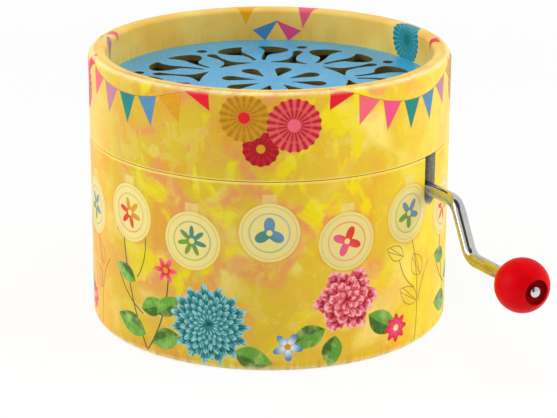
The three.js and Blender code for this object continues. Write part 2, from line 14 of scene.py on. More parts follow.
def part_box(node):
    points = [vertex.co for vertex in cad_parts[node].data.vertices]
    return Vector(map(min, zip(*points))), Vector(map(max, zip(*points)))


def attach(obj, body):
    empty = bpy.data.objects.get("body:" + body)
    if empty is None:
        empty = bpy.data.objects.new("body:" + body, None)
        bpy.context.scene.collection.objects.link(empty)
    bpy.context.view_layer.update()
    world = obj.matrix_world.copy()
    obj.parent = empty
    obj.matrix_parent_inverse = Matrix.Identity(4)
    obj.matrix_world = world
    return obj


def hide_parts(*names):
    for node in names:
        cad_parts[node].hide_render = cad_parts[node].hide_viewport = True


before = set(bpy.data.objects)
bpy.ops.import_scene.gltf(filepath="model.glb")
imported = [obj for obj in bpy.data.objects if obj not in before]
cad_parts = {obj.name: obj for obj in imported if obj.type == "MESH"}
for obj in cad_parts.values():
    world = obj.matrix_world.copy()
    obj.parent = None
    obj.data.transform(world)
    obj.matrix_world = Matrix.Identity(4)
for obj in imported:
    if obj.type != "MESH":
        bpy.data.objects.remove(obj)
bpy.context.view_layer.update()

bl_info = {
    "name": "Hand crank music box",
    "version": (1, 0, 0),
    "blender": (4, 5, 0),
    "location": "3D View > Sidebar > Music box",
    "description": "Builds the visible pieces and finishes of a round card music box",
    "category": "Object",
}

MM = 0.001
WELD = 2e-6  # points nearer than this are one point
PAPER_WRAP = 0.6 * MM  # how far the printed paper covers the edges of a tube
LIP_MIDDLE = 1.6 * MM  # how far in from the wall the print of the rim begins


def low(node):
    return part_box(node)[0]


def high(node):
    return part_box(node)[1]


# Places that the frame gives: the crank's line, the middles of the ball and the drum, the way out of the wall
SHAFT_Y = (low("worm").y + high("worm").y) / 2
SHAFT_Z = (low("worm").z + high("worm").z) / 2
KNOB_Z = (low("knob").z + high("knob").z) / 2
PIN_TIP = 4.6 * MM  # from the ball's middle to the rod's end
KNOB_X = high("crank_rod").x - PIN_TIP
DRUM_X = (low("drum_arbor").x + high("drum_arbor").x) / 2
DRUM_Z = (low("drum_arbor").z + high("drum_arbor").z) / 2
WALL_EXIT = math.sqrt(high("base_tube").x ** 2 - SHAFT_Y**2)


def length(label, about, value):
    kind = {"unit": "LENGTH", "subtype": "DISTANCE"}
    return FloatProperty(name=label, description=about, default=value, min=0, **kind)


def share(label, about, value, most=1.0):
    return FloatProperty(name=label, description=about, default=value, min=0, max=most, subtype="FACTOR")


def turn(label, about, degrees):
    kind = {"unit": "ROTATION", "subtype": "ANGLE"}
    return FloatProperty(name=label, description=about, default=math.radians(degrees), **kind)


def count(label, about, value):
    return IntProperty(name=label, description=about, default=value, min=1)


def number(label, about, value):
    return FloatProperty(name=label, description=about, default=value, subtype="NONE")


def linear(*rgb):
    """A colour picked from 0 to 255, as the light that a shader works with."""
    shares = (step / 255 for step in rgb)
    return tuple(c / 12.92 if c <= 0.04045 else ((c + 0.055) / 1.055) ** 2.4 for c in shares)


def colour(label, about, *rgb):
    return FloatVectorProperty(
        name=label, description=about, default=linear(*rgb), size=3, min=0, max=1, subtype="COLOR"
    )


class CaseSizes(bpy.types.PropertyGroup):
    """Sizes of the card tubes"""

    radius: length("Radius", "Outer radius of the case", high("base_tube").x)
    wall: length("Wall", "Thickness of the outer tubes", 2 * MM)
    rim_wall: length("Rim wall", "Thickness of the ring inside the lip", 1.1 * MM)
    collar_wall: length("Collar wall", "Thickness of the collar and of the lid's liner", 1.4 * MM)
    foot_round: length("Foot round", "Round on the foot edge", 1.3 * MM)
    lip_outer: length("Lip round outside", "Round on the outer edge of the lip", 1.5 * MM)
    lip_inner: length("Lip round inside", "Round on the inner edge of the lip", 0.9 * MM)
    edge_round: length("Edge round", "Paper turned over the plain edges", 0.12 * MM)
    paper_edge: length("Paper edge", "How far the turned paper stands above the base's card", 0.1 * MM)
    slot_width: length("Slot width", "Width of the slot for the crank", 3.7 * MM)
    slot_drop: length("Slot drop", "How far the slot goes below the shaft", 3.1 * MM)
    collar_margin: length("Collar slot margin", "How much wider the slot in the collar is", 0.7 * MM)
    facets: count("Facets", "Faces round the case", 360)


class PrintSizes(bpy.types.PropertyGroup):
    """Sizes of the printed pattern, along the paper"""

    front: turn("Front", "Turn of the side that faces the viewer, clockwise from the crank", 28.8)
    pennant_pitch: turn("Pennant pitch", "Turn from one pennant to the next", 8.7)
    pennant_width: length("Pennant width", "Width of a pennant at its string", 4.4 * MM)
    pennant_length: length("Pennant length", "Length of a pennant", 5.5 * MM)
    swag_sag: length("Swag sag", "How far the string hangs down on the crank's side", 4.2 * MM)
    disc_radius: length("Disc radius", "Radius of a cream disc of the garland", 5.6 * MM)
    disc_height: length("Disc height", "Height of the garland over the foot", 26 * MM)


class PrintColours(bpy.types.PropertyGroup):
    """Inks of the print"""

    ground: colour("Ground", "Main yellow of the paper", 230, 192, 44)
    pale: colour("Pale", "Light spots of the ground", 248, 224, 112)
    amber: colour("Amber", "Warm patches of the ground", 234, 170, 40)
    peach: colour("Peach", "Peach patches of the ground", 238, 158, 82)
    lime: colour("Lime", "Sharp yellow patches of the ground", 242, 218, 8)
    teal: colour("Teal", "Teal pennants and flowers", 20, 128, 126)
    blue: colour("Slate blue", "Blue pennants", 74, 134, 182)
    gold: colour("Gold", "Gold pennants", 212, 150, 22)
    red: colour("Red", "Red pennants", 222, 22, 44)
    mauve: colour("Mauve", "Mauve pennants", 186, 124, 156)
    pink: colour("Pink", "Coral pennants and petals", 238, 100, 122)
    rose: colour("Rose", "Hot pink pennants", 236, 74, 132)
    cream: colour("Cream", "Discs of the garland", 232, 218, 138)
    leaf: colour("Leaf", "Green leaves", 92, 150, 50)
    line: colour("Line", "Fine drawn lines", 140, 104, 40)
    # Paper that wears pale at an edge; the same pale also paints a highlight on the lip
    rubbed_and_highlight: colour("Rubbed_and_highlight", "Paper where it turns over an edge", 252, 236, 176)


class GrilleSizes(bpy.types.PropertyGroup):
    """Sizes of the pierced disc"""

    pattern_radius: length("Pattern radius", "Radius that the pattern follows", 29.3 * MM)
    petals: count("Petals", "How often the pattern repeats", 8)
    pattern_turn: turn("Pattern turn", "Turn of the pattern from the crank", 3.9)
    off_centre: length("Off centre", "How far the pattern is cut off the disc's centre", 1.7 * MM)


class CrankSizes(bpy.types.PropertyGroup):
    """Sizes of the crank and its knob"""

    rod_radius: length("Rod radius", "Radius of the polished rod", 1.3 * MM)
    standoff: length("Standoff", "From the wall to the first bend", 9.1 * MM)
    arm_out: length("Arm out", "How far the arm leans outwards", 5.3 * MM)
    bend_radius: length("Bend radius", "Radius of the two bends", 3.4 * MM)
    knob_radius: length("Knob radius", "Radius of the ball", 5 * MM)
    recess_radius: length("Recess radius", "Radius of the recess in the ball's end", 2.3 * MM)
    recess_floor: length("Recess floor", "Where the recess ends, from the ball's middle", 3.5 * MM)
    recess_round: length("Recess round", "Round at the floor of the recess", 0.4 * MM)
    mouth_round: length("Mouth round", "Round where a bore meets the ball's skin", 0.22 * MM)
    bore_play: length("Bore play", "How much wider the bore is than the rod, all round", 0.2 * MM)
    web_start: length("Web start", "Where the wide bore ends, from the ball's middle", 1.8 * MM)
    web_bore: length("Web bore", "Radius of the narrow bore under the recess", 0.95 * MM)
    shoulder: length("Shoulder", "Where the rod steps down to its pin, from the ball's middle", 1.5 * MM)
    pin_radius: length("Pin radius", "Radius of the pin that the ball turns on", 0.75 * MM)
    head_radius: length("Head radius", "Radius of the rod's riveted head", 1.15 * MM)
    head_play: length("Head play", "From the floor of the recess to the rod's head", 0.3 * MM)


class MovementSizes(bpy.types.PropertyGroup):
    """Sizes of the pinned drum and its drive"""

    drum_radius: length("Drum radius", "Outer radius of the drum", 6.5 * MM)
    drum_wall: length("Drum wall", "Thickness of the drum tube", 0.6 * MM)
    pins: count("Pins", "Number of pins on the drum", 54)
    pin_stride: count("Pin stride", "Teeth passed from one pin to the next", 7)
    teeth: count("Teeth", "Teeth of the comb", 18)
    tooth_pitch: length("Tooth pitch", "From one tooth to the next", 1.05 * MM)
    pin_radius: length("Pin radius", "Radius of a pin", 0.24 * MM)
    pin_height: length("Pin height", "How far a pin stands out", 0.7 * MM)
    edge_round: length("Edge round", "Softened edges of metal parts", 0.12 * MM)
    screw_head: length("Screw head", "Radius of a screw's head", 1.9 * MM)
    screw_shank: length("Screw shank", "Radius of a screw's shank", 0.9 * MM)
    screw_crown: length("Screw crown", "Height of a screw's head", 1.2 * MM)
    driver_width: length("Driver slot width", "Width of the slot for the driver", 0.5 * MM)
    driver_depth: length("Driver slot depth", "Depth of the slot for the driver", 0.45 * MM)


class LightLevels(bpy.types.PropertyGroup):
    """Levels of the studio light"""

    room: number("Room", "Strength of the light from all round", 0.72)
    lamp: number("Lamp", "Power of the large lamps, in watts", 0.88)
    dark_side: share("Dark side", "Light from where the viewer stands, as a share of the room", 0.1)
    floor_glow: share("Floor glow", "Share of the floor's white that no shadow darkens", 0.86)


# Node trees: a small language, so that a print or a shape reads as sums


class Field:
    """A number that varies over a surface or along a tree: the socket that gives it."""

    def __init__(self, graph, socket):
        self.graph = graph
        self.socket = socket

    def of(self, operation, *others):
        """The field after one operation of the Math node."""
        return self.graph.sum(operation, self, *others)

    def __add__(self, other):
        return self.of("ADD", other)

    def __sub__(self, other):
        return self.of("SUBTRACT", other)

    def __rsub__(self, other):
        return self.graph.sum("SUBTRACT", other, self)

    def __mul__(self, other):
        return self.of("MULTIPLY", other)

    def __truediv__(self, other):
        return self.of("DIVIDE", other)

    def __mod__(self, other):
        return self.of("FLOORED_MODULO", other)

    def __neg__(self):
        return self * -1

    def __abs__(self):
        return self.of("ABSOLUTE")

    __radd__ = __add__
    __rmul__ = __mul__


def result(made):
    """The first output that a node's settings leave in use."""
    return next(s for s in made.outputs if s.enabled)


class Graph:
    """Adds nodes to a tree, and sets or links their inputs by name."""

    def __init__(self, tree):
        self.tree = tree

    def node(self, kind, settings=None, **inputs):
        """A new node. An underscore in an input's name stands for a space."""
        made = self.tree.nodes.new(kind)
        for key, value in (settings or {}).items():
            setattr(made, key, value)
        for label, value in inputs.items():
            name = label.replace("_", " ")
            self.put(next(s for s in made.inputs if s.name == name and s.enabled), value)
        return made

    def put(self, socket, value):
        """Links a field or an output to a socket, or sets the socket to a plain value."""
        if isinstance(value, Field):
            value = value.socket
        if isinstance(value, bpy.types.NodeSocket):
            self.tree.links.new(value, socket)
        elif hasattr(value, "__len__") and len(socket.default_value) == 4:
            socket.default_value = (*value[:3], 1)
        else:
            socket.default_value = value

    def sum(self, operation, *values):
        """What one Math node makes of up to three values."""
        made = self.node("ShaderNodeMath", {"operation": operation})
        for socket, value in zip(made.inputs, values):
            self.put(socket, value)
        return Field(self, made.outputs[0])

    def vector(self, x=0.0, y=0.0, z=0.0):
        return self.node("ShaderNodeCombineXYZ", X=x, Y=y, Z=z).outputs[0]

    def fade(self, value, start, end, first=0.0, last=1.0, smooth=True):
        """Goes from first to last while the value goes from start to end."""
        kind = {"interpolation_type": "SMOOTHSTEP" if smooth else "LINEAR"}
        ends = {"From_Min": start, "From_Max": end, "To_Min": first, "To_Max": last}
        return Field(self, self.node("ShaderNodeMapRange", kind, Value=value, **ends).outputs[0])

    def blend(self, part, under, over):
        """A number between two numbers."""
        made = self.node("ShaderNodeMix", {"data_type": "FLOAT"}, Factor=part, A=under, B=over)
        return Field(self, result(made))

    def mix(self, mask, under, over, mode="MIX"):
        """A colour between two colours."""
        kind = {"data_type": "RGBA", "blend_type": mode}
        return result(self.node("ShaderNodeMix", kind, Factor=mask, A=under, B=over))

    def steps(self, value, tints):
        """One plain colour after the other, as the value goes from 0 to 1."""
        return self.scale(value, *[(i / len(tints), tint) for i, tint in enumerate(tints)], step=True)

    def scale(self, value, *stops, step=False):
        """A colour scale of (place, colour) stops."""
        made = self.node("ShaderNodeValToRGB", Fac=value)
        ramp = made.color_ramp
        ramp.interpolation = "CONSTANT" if step else "LINEAR"
        while len(ramp.elements) < len(stops):
            ramp.elements.new(1.0)
        for element, (spot, tint) in zip(ramp.elements, stops):
            element.position = spot
            element.color = (*tint[:3], 1)
        return made.outputs[0]


class Painter(Graph):
    """Builds one material, with the object's own coordinates at hand in millimetres."""

    def __init__(self, name, **finish):
        self.material = bpy.data.materials.new(name)
        self.material.use_nodes = True
        super().__init__(self.material.node_tree)
        self.shader = self.tree.nodes["Principled BSDF"]
        for label, value in finish.items():
            self.set(label.replace("_", " "), value)
        metres = self.node("ShaderNodeTexCoord").outputs["Object"]
        scaled = self.node("ShaderNodeVectorMath", {"operation": "SCALE"}, Vector=metres, Scale=1 / MM)
        self.place = scaled.outputs[0]
        axes = self.node("ShaderNodeSeparateXYZ", Vector=self.place).outputs
        self.x, self.y, self.z = (Field(self, axis) for axis in axes)

    def set(self, label, value):
        self.put(self.shader.inputs[label], value)

    def moved(self, operation, x, y, z):
        """The object's coordinates, shifted or stretched by three numbers."""
        made = self.node("ShaderNodeVectorMath", {"operation": operation}, Vector=self.place)
        made.inputs[1].default_value = (x, y, z)
        return made.outputs[0]

    def noise(self, vector, size, detail=2.0, roughness=0.5, distortion=0.0):
        """Soft clouds whose lumps are about size millimetres across."""
        shape = {"Scale": 1 / size, "Detail": detail, "Roughness": roughness, "Distortion": distortion}
        return Field(self, self.node("ShaderNodeTexNoise", Vector=vector, **shape).outputs[0])

    def cells(self, vector, size):
        """Cells about size millimetres across: distance, colour and place of the nearest middle."""
        return self.node("ShaderNodeTexVoronoi", Vector=vector, Scale=1 / size).outputs

    def inside(self, distance, softness=0.07):
        """1 where the distance is above zero, with an edge as soft as ink."""
        return self.fade(distance, -softness, softness)

    def bump(self, height):
        """Height in millimetres."""
        self.set("Normal", self.node("ShaderNodeBump", Strength=1.0, Distance=MM, Height=height).outputs[0])

    def done(self, tint, roughness=None):
        self.set("Base Color", tint)
        if roughness is not None:
            self.set("Roughness", roughness)
        return self.material


def shade(tint, factor):
    return tuple(min(1.0, c * factor) for c in tint[:3])


# The print: everything is placed by the turn from the front, in degrees, and by millimetres along the paper


class Wall:
    """The paper's own coordinates on the case: turn from the front, distance along it and height."""

    def __init__(self, paint, sizes, radius):
        front = sizes.front
        x = paint.x * math.cos(front) - paint.y * math.sin(front)
        y = paint.x * math.sin(front) + paint.y * math.cos(front)
        self.turn = y.of("ARCTAN2", x) * math.degrees(1)
        self.per_degree = math.radians(radius)
        self.radius = (paint.x * paint.x + paint.y * paint.y).of("SQRT")
        self.height = paint.z


def polar(x, y):
    return (x * x + y * y).of("SQRT"), y.of("ARCTAN2", x)


def ground(paint, ink, wall, left, right, warmth=0.0):
    """Water colour paper: soft washes with amber, peach and sharp yellow patches."""
    cloud = paint.noise(paint.place, 17, 2.0, 0.5, 0.4)
    tint = paint.scale(cloud, (0.38, ink.amber), (0.48, ink.ground), (0.58, ink.ground), (0.68, ink.pale))
    # Sharp yellow on the crank's side, and on either flank, where the wall turns away from the front, a
    # brighter ink of its own: a painted glow along the edges
    crank_side = paint.fade(wall.turn, 30, 60) * paint.fade(wall.turn, 110, 80)
    tint = paint.mix(crank_side * 0.6, tint, ink.lime)
    painted_edge_glow = paint.mix(wall.turn.of("GREATER_THAN", 0), left, right)
    tint = paint.mix(paint.fade(abs(wall.turn), 38, 72) * 0.55, tint, painted_edge_glow)
    # Patches of peach and yellow, fullest at the front and back and faint near the foot
    middle = (paint.fade(abs(wall.turn + 6), 62, 30) + paint.fade(abs(wall.turn), 100, 140)) * 0.75 + 0.25
    middle *= paint.fade(wall.height, 7, 18, 0.3, 1.0)
    shifted = paint.moved("ADD", 61, 17, 43)
    peach = paint.noise(shifted, 9, 3.0, 0.5, 0.6)
    tint = paint.mix(paint.fade(peach, 0.46 + warmth, 0.62 + warmth) * middle, tint, ink.peach)
    bright = paint.noise(paint.moved("MULTIPLY", 1, 1, 0.7), 6.5, 3.0, 0.5, 0.7)
    yellow = paint.fade(bright, 0.51 + warmth / 2, 0.62 + warmth / 2)
    tint = paint.mix(yellow * middle, tint, ink.lime)
    # Edges of dried washes, and round spots of light
    wash = paint.noise(paint.moved("ADD", 7, 91, 12), 5, 4.0, 0.55, 0.5)
    tint = paint.mix(paint.fade(wash, 0.55, 0.57) * 0.16, tint, ink.peach)
    tint = paint.mix(paint.fade(wash, 0.44, 0.42) * 0.2, tint, ink.pale)
    spots = paint.cells(paint.vector(wall.turn * wall.per_degree, wall.height), 7.5)
    size = Field(paint, paint.node("ShaderNodeSeparateColor", Color=spots[1]).outputs[0])
    glow = paint.inside(size * 0.26 - 0.04 - Field(paint, spots[0]), 0.03)
    tint = paint.mix(glow * 0.4, tint, ink.pale)
    # Painted shade: all of it is darker left of the middle, where less light falls, and the tooth of the
    # paper lies over it
    painted_shade_left = paint.fade(wall.turn, -72, -50) * paint.fade(wall.turn, 24, -10)
    tint = paint.mix(painted_shade_left, tint, (0.83, 0.87, 0.96), "MULTIPLY")
    fine = paint.noise(paint.place, 0.6, 3.0, 0.7)
    speckle = paint.scale(fine, (0.25, (0.3, 0.28, 0.2)), (0.75, (0.8, 0.8, 0.8)))
    return paint.mix(0.12, tint, speckle, "OVERLAY")


# A swag in degrees: the turn to its middle, how much further round the back ones hang, and half its reach
SWAG_MIDDLE, SWAG_BACK, SWAG_HALF = 48.3, 83.0, 28


def bunting(paint, ink, sizes, wall, drop, under):
    """Swags of pennants on a fine string: two on the seen side and two behind."""
    side = wall.turn.of("SIGN")
    right = side.of("GREATER_THAN", 0)
    span, sag = right * 3.0 + 24.0, (right * 0.24 + 0.76) * (sizes.swag_sag / MM)
    away = abs(wall.turn)
    along = (away - away.of("GREATER_THAN", 90) * SWAG_BACK - SWAG_MIDDLE) * side
    pitch = math.degrees(sizes.pennant_pitch)
    cell = (along / pitch + 0.5).of("FLOOR")
    centre = cell * pitch
    lowest = right * 2.0
    bend = sag / (span * span)
    from_lowest = centre - lowest
    string = sag - from_lowest * from_lowest * bend
    slope = from_lowest * bend * (-2 / wall.per_degree)
    offset = (along - centre) * wall.per_degree
    below = drop - string - slope * offset
    shear = abs(offset + slope * below)
    width, reach = sizes.pennant_width / MM / 2, sizes.pennant_length / MM
    edge = ((1 - below / reach) * width - shear).of("MINIMUM", below)
    kept = (SWAG_HALF - abs(centre)).of("GREATER_THAN", 0) * (3 * reach - drop).of("GREATER_THAN", 0)
    left_inks = (ink.red, ink.pink, ink.mauve, ink.teal, ink.blue, ink.gold, ink.red)
    right_inks = (ink.red, ink.pink, ink.rose, ink.teal, ink.blue, ink.mauve, ink.gold)
    row = len(left_inks)
    index = (cell + row // 2 + right * row) / (2 * row) + 1 / (4 * row)
    cloth = paint.steps(index, left_inks + right_inks)
    weave = paint.noise(paint.place, 1.3, 3.0)
    cloth = paint.mix(paint.fade(weave, 0.35, 0.7) * 0.35, cloth, ink.pale, "SOFT_LIGHT")
    rim = paint.inside(edge + 0.09, 0.05) * (1 - paint.inside(edge - 0.06, 0.08))
    swing = along - lowest
    strung = (span + 5 - abs(swing)).of("GREATER_THAN", 0)
    line = paint.inside(0.08 - abs(drop - sag + swing * swing * bend), 0.06) * strung
    under = paint.mix(line * 0.55, under, shade(ink.line, 0.75))
    under = paint.mix(rim * kept * 0.4, under, shade(ink.line, 0.8))
    return paint.mix(paint.inside(edge) * kept, under, cloth)


def pennant(paint, x, y, slope, drift, half, reach, tint, under):
    """One pennant below a slanting string that passes (0, 0), its point set off sideways by the drift."""
    below = y - x * slope
    edge = ((1 - below / reach) * half - abs(x - below * drift)).of("MINIMUM", below)
    return paint.mix(paint.inside(edge), under, tint)


def rosette(paint, x, y, radius, pleats, dark, light, button, under):
    """A paper fan rosette with pressed pleats and a button."""
    away, angle = polar(x, y)
    out = away / radius
    fold = abs((angle * (pleats / math.tau)) % 1.0 - 0.5) * 2
    edge = 1 - fold * 0.06 - out
    tint = paint.mix(paint.fade(fold, 0.1, 0.9, smooth=False), dark, light)
    tint = paint.mix(paint.fade(out, 1.0, 0.2) * 0.35, tint, dark)
    ring = paint.inside(0.05 - abs(out - 0.62), 0.03)
    tint = paint.mix(ring * 0.35, tint, light)
    tint = paint.mix(paint.inside(0.24 - out, 0.03), tint, button)
    return paint.mix(paint.inside(edge * radius), under, tint)


def dahlia(paint, x, y, radius, rings, petals, inks, under, ragged=0.06, step=math.pi):
    """A full flower head: rings of petals, each ring a little smaller and lying on the one before."""
    dark, middle, light = inks
    away, angle = polar(x, y)
    rough = paint.noise(paint.vector(x, y), radius * 0.13, 3.0, 0.6) - 0.5
    shape = away + rough * radius * ragged * 2
    for i in range(rings):
        smaller = 1 - i * 0.88 / rings
        wave = (angle * petals + (i * step)).of("COSINE")
        rim = (wave * 0.13 + 0.87) * (radius * smaller)
        depth = (rim - shape) / (radius * 0.24)
        vein = (angle * (petals * 5)).of("SINE") * 0.07
        lit = wave * 0.22 + 0.74 - depth * 0.62 + vein + rough * 0.7
        tint = paint.scale(lit, (0.05, shade(dark, 0.35)), (0.32, dark), (0.6, middle), (0.88, light))
        under = paint.mix(paint.inside(rim - shape, 0.05), under, tint)
    return under


def blossom(paint, x, y, radius, petals, inner, outer, heart, under, depth=0.3, twist=0.0):
    """A flat flower with a few rounded petals."""
    away, angle = polar(x, y)
    wave = (angle * petals + twist).of("COSINE")
    edge = (wave * depth + (1 - depth)) * radius - away
    tint = paint.mix(paint.fade(away / radius, 0.15, 0.95), inner, outer)
    tint = paint.mix(paint.fade(wave, -0.2, -1.0) * 0.35, tint, shade(outer, 0.6))
    tint = paint.mix(paint.inside(0.22 * radius - away), tint, heart)
    return paint.mix(paint.inside(edge), under, tint)


def blade(spot, root, lean, reach, width):
    """Coordinates of a leaf or stalk: share of its reach, and half widths across it."""
    cosine, sine = math.cos(math.radians(lean)), math.sin(math.radians(lean))
    dx, dy = spot[0] - root[0], spot[1] - root[1]
    return (dx * cosine + dy * sine) / reach, (dy * cosine - dx * sine) / (width / 2)


def leaf(paint, spot, root, lean, reach, width, dark, light, mottle, under):
    """A painted leaf with a bent midrib, side veins and mottled green."""
    along, across = blade(spot, root, lean, reach, width)
    curve = across + (along * (1 - along)) * 0.5
    outline = along * (1 - along) * (1.35 - along * 0.5) * 4
    edge = (outline - abs(curve)) * (width / 2)
    ends = (along * (1 - along)).of("GREATER_THAN", 0)
    veins = abs((along * 7 - abs(curve) * 0.9) % 1.0 - 0.5)
    tint = paint.mix(paint.fade(curve, -0.25, 0.25), dark, light)
    tint = paint.mix(mottle * paint.fade(along, 0.0, 1.0, 0.4, 1.0), tint, (0.42, 0.60, 0.16))
    tint = paint.mix(paint.fade(veins, 0.14, 0.0) * 0.22, tint, shade(dark, 0.6))
    tint = paint.mix(paint.inside(0.05 - abs(curve), 0.05) * 0.5, tint, shade(light, 1.5))
    return paint.mix(paint.inside(edge, 0.12) * ends, under, tint)


def stalk(paint, spot, root, lean, reach, bend, thickness, tint, under):
    """A stalk drawn as one bent line."""
    along, across = blade(spot, root, lean, reach, 2.0)
    edge = thickness - abs(across - along * (1 - along) * 4 * bend)
    ends = (along * (1 - along)).of("GREATER_THAN", 0)
    return paint.mix(paint.inside(edge, 0.07) * ends, under, tint)


def outlined(paint, spot, root, lean, reach, width, tint, under):
    """A leaf in thin drawn lines."""
    along, across = blade(spot, root, lean, reach, width)
    outline = along * (1 - along) * (1.35 - along * 0.5) * 4
    edge = abs((outline - abs(across)) * (width / 2))
    veins = abs(abs(across) - along * 0.35) * (width / 2)
    line = 0.1 - edge.of("MINIMUM", veins + 0.02)
    kept = (along * (1 - along)).of("GREATER_THAN", 0) * (outline + 0.1 - abs(across)).of("GREATER_THAN", 0)
    return paint.mix(paint.inside(line, 0.07) * kept * 0.8, under, tint)


def garland(paint, ink, sizes, wall, under):
    """Cream discs that hang from tabs in a gentle wave, each with a small two-coloured flower."""
    kinds = 5
    pitch, radius = GARLAND_PITCH, sizes.disc_radius / MM
    cell = (wall.turn / pitch + 0.5).of("FLOOR")
    lift = (cell * math.pi).of("COSINE") * 1.3
    x = (wall.turn - cell * pitch) * wall.per_degree
    y = wall.height - sizes.disc_height / MM - lift
    tab = (1.3 - abs(x)).of("MINIMUM", 1.7 - abs(y - radius))
    under = paint.mix(paint.inside(tab, 0.15) * 0.5, under, ink.cream)
    away, angle = polar(x, y)
    under = paint.mix(paint.inside(radius + 0.35 - away, 0.3) * 0.3, under, shade(ink.amber, 0.75))
    border = paint.inside(0.12 - abs(away - radius * 0.9), 0.08)
    paper = paint.mix(border * 0.3, ink.cream, shade(ink.gold, 0.8))
    kind = cell % kinds
    index = kind / kinds + 0.5 / kinds
    first = paint.steps(index, (ink.blue, ink.red, ink.blue, ink.gold, ink.teal))
    second = paint.steps(index, (ink.teal, ink.rose, ink.leaf, ink.red, ink.leaf))
    mark = paint.mix(paint.fade(x + y, -1.5, 1.5), second, first)
    wave = (angle * (kind + 3) + math.pi / 2).of("COSINE")
    edge = (0.36 + wave * 0.17) * radius - away
    hollow = away - radius * 0.1
    paper = paint.mix(paint.inside(edge.of("MINIMUM", hollow)), paper, mark)
    ring = paint.inside(0.13 - abs(away - radius * 0.66), 0.07)
    paper = paint.mix(ring * 0.55, paper, mark)
    return paint.mix(paint.inside(radius - away) * 0.9, under, paper)


def wrapped(value, period):
    return (value / period + 0.5) % 1.0 * period - period / 2


# Where the print begins again, in degrees: the base's flowers, the lid's rosettes and the garland's discs
BASE_REPEAT, LID_REPEAT, GARLAND_PITCH = 120.0, 90.0, 24.0

# Stalks of the base: root on the paper, lean in degrees, reach, bend and, on the green ones, thickness
DRAWN_STALKS = (((32, 1), 96, 24, -1.6), ((33, 9), 60, 9, 0.8), ((31.5, 12), 125, 8, 0.8))
GREEN_STALKS = (
    ((-25, 1), 105, 25, 1.4, 0.16),
    ((-26, 8), 135, 10, 0.9, 0.13),
    ((-25, 1), 72, 17, -1.2, 0.15),
    ((-27.5, 15), 75, 9, -0.8, 0.11),
)

# Leaves of the base: root, lean in degrees, reach and width
DRAWN_LEAVES = (
    ((32.5, 9), 145, 6.5, 3.0),
    ((33.5, 14), 118, 5.5, 3.2),
    ((30.5, 22), 100, 6.0, 3.4),
    ((28, 19), 150, 5.0, 2.6),
)
GREEN_LEAVES = (
    ((-25.4, 4), 165, 8.5, 4.0),
    ((-26.4, 9), 25, 6.5, 3.4),
    ((-28, 14), 160, 6.5, 3.0),
    ((-22.5, 9), 40, 6.5, 3.4),
    ((-17.5, 5.5), 205, 7.0, 3.8),
    ((-6.5, 4), -18, 7.5, 4.0),
    ((10.5, 8), 205, 7.5, 4.0),
    ((12.5, 6.5), 262, 6.5, 3.6),
    ((19.5, 9.5), -32, 8.5, 4.2),
    ((-31.2, 24), 110, 4.0, 1.8),
)


def base_print(paint, ink, sizes, wall):
    """Flowers and leaves, repeated round the base, and the garland over them."""
    tint = ground(paint, ink, wall, shade(ink.amber, 1.12), ink.lime)
    spot = x, y = wrapped(wall.turn, BASE_REPEAT) * wall.per_degree, wall.height
    dark, light = shade(ink.leaf, 0.45), shade(ink.leaf, 1.15)
    mottle = paint.fade(paint.noise(paint.place, 2.4, 4.0, 0.6), 0.42, 0.72)
    for line in DRAWN_STALKS:
        tint = stalk(paint, spot, *line, 0.1, ink.line, tint)
    for line in DRAWN_LEAVES:
        tint = outlined(paint, spot, *line, ink.line, tint)
    for line in GREEN_STALKS:
        tint = stalk(paint, spot, *line, shade(ink.leaf, 0.4), tint)
    for line in GREEN_LEAVES:
        tint = leaf(paint, spot, *line, dark, light, mottle, tint)
    tint = blossom(paint, x + 31.8, y - 24.2, 2.1, 5, shade(ink.red, 0.7), ink.pink, ink.red, tint)
    tint = blossom(paint, x + 20.4, y - 18.0, 2.6, 6, ink.red, ink.pink, ink.gold, tint)
    blues = (shade(ink.teal, 0.4), (0.035, 0.26, 0.28), (0.30, 0.60, 0.60))
    pinks = (shade(ink.red, 0.6), (0.78, 0.12, 0.17), (0.93, 0.48, 0.48))
    tint = dahlia(paint, x + 11.5, y - 8.7, 8.0, 7, 15, blues, tint, 0.09)
    tint = dahlia(paint, x - 14.8, y - 13.2, 6.6, 6, 6, pinks, tint, 0.13, 2.4)
    tint = blossom(paint, x - 3.4, y - 5.0, 2.9, 5, (0.8, 0.86, 0.9), ink.blue, ink.gold, tint, 0.25, 1.2)
    tint = blossom(paint, x - 26.3, y - 5.2, 2.9, 8, ink.rose, ink.red, ink.cream, tint, 0.16)
    return garland(paint, ink, sizes, wall, tint)


# Pennants inside the rim: turn, drop below the lip, slope of the string, drift of the point, half width,
# reach, ink and how bright it is
RIM_PENNANTS = (
    (189.0, -1.6, 0.0, 0.0, 3.2, 6.8, "gold", 1.35),
    (181.7, 5.3, 0.37, 0.0, 2.8, 3.3, "blue", 1.0),
    (172.9, 5.3, -0.37, 0.0, 2.8, 3.3, "rose", 1.0),
    (165.5, -1.6, 0.0, 0.16, 2.9, 7.4, "pink", 1.0),
    (252.0, -1.4, 0.2, 0.0, 2.2, 5.0, "pink", 1.0),
    (261.0, 1.2, 0.3, 0.1, 2.2, 5.0, "mauve", 1.0),
    (98.0, -0.4, 0.3, 0.0, 2.0, 4.5, "red", 1.0),
)


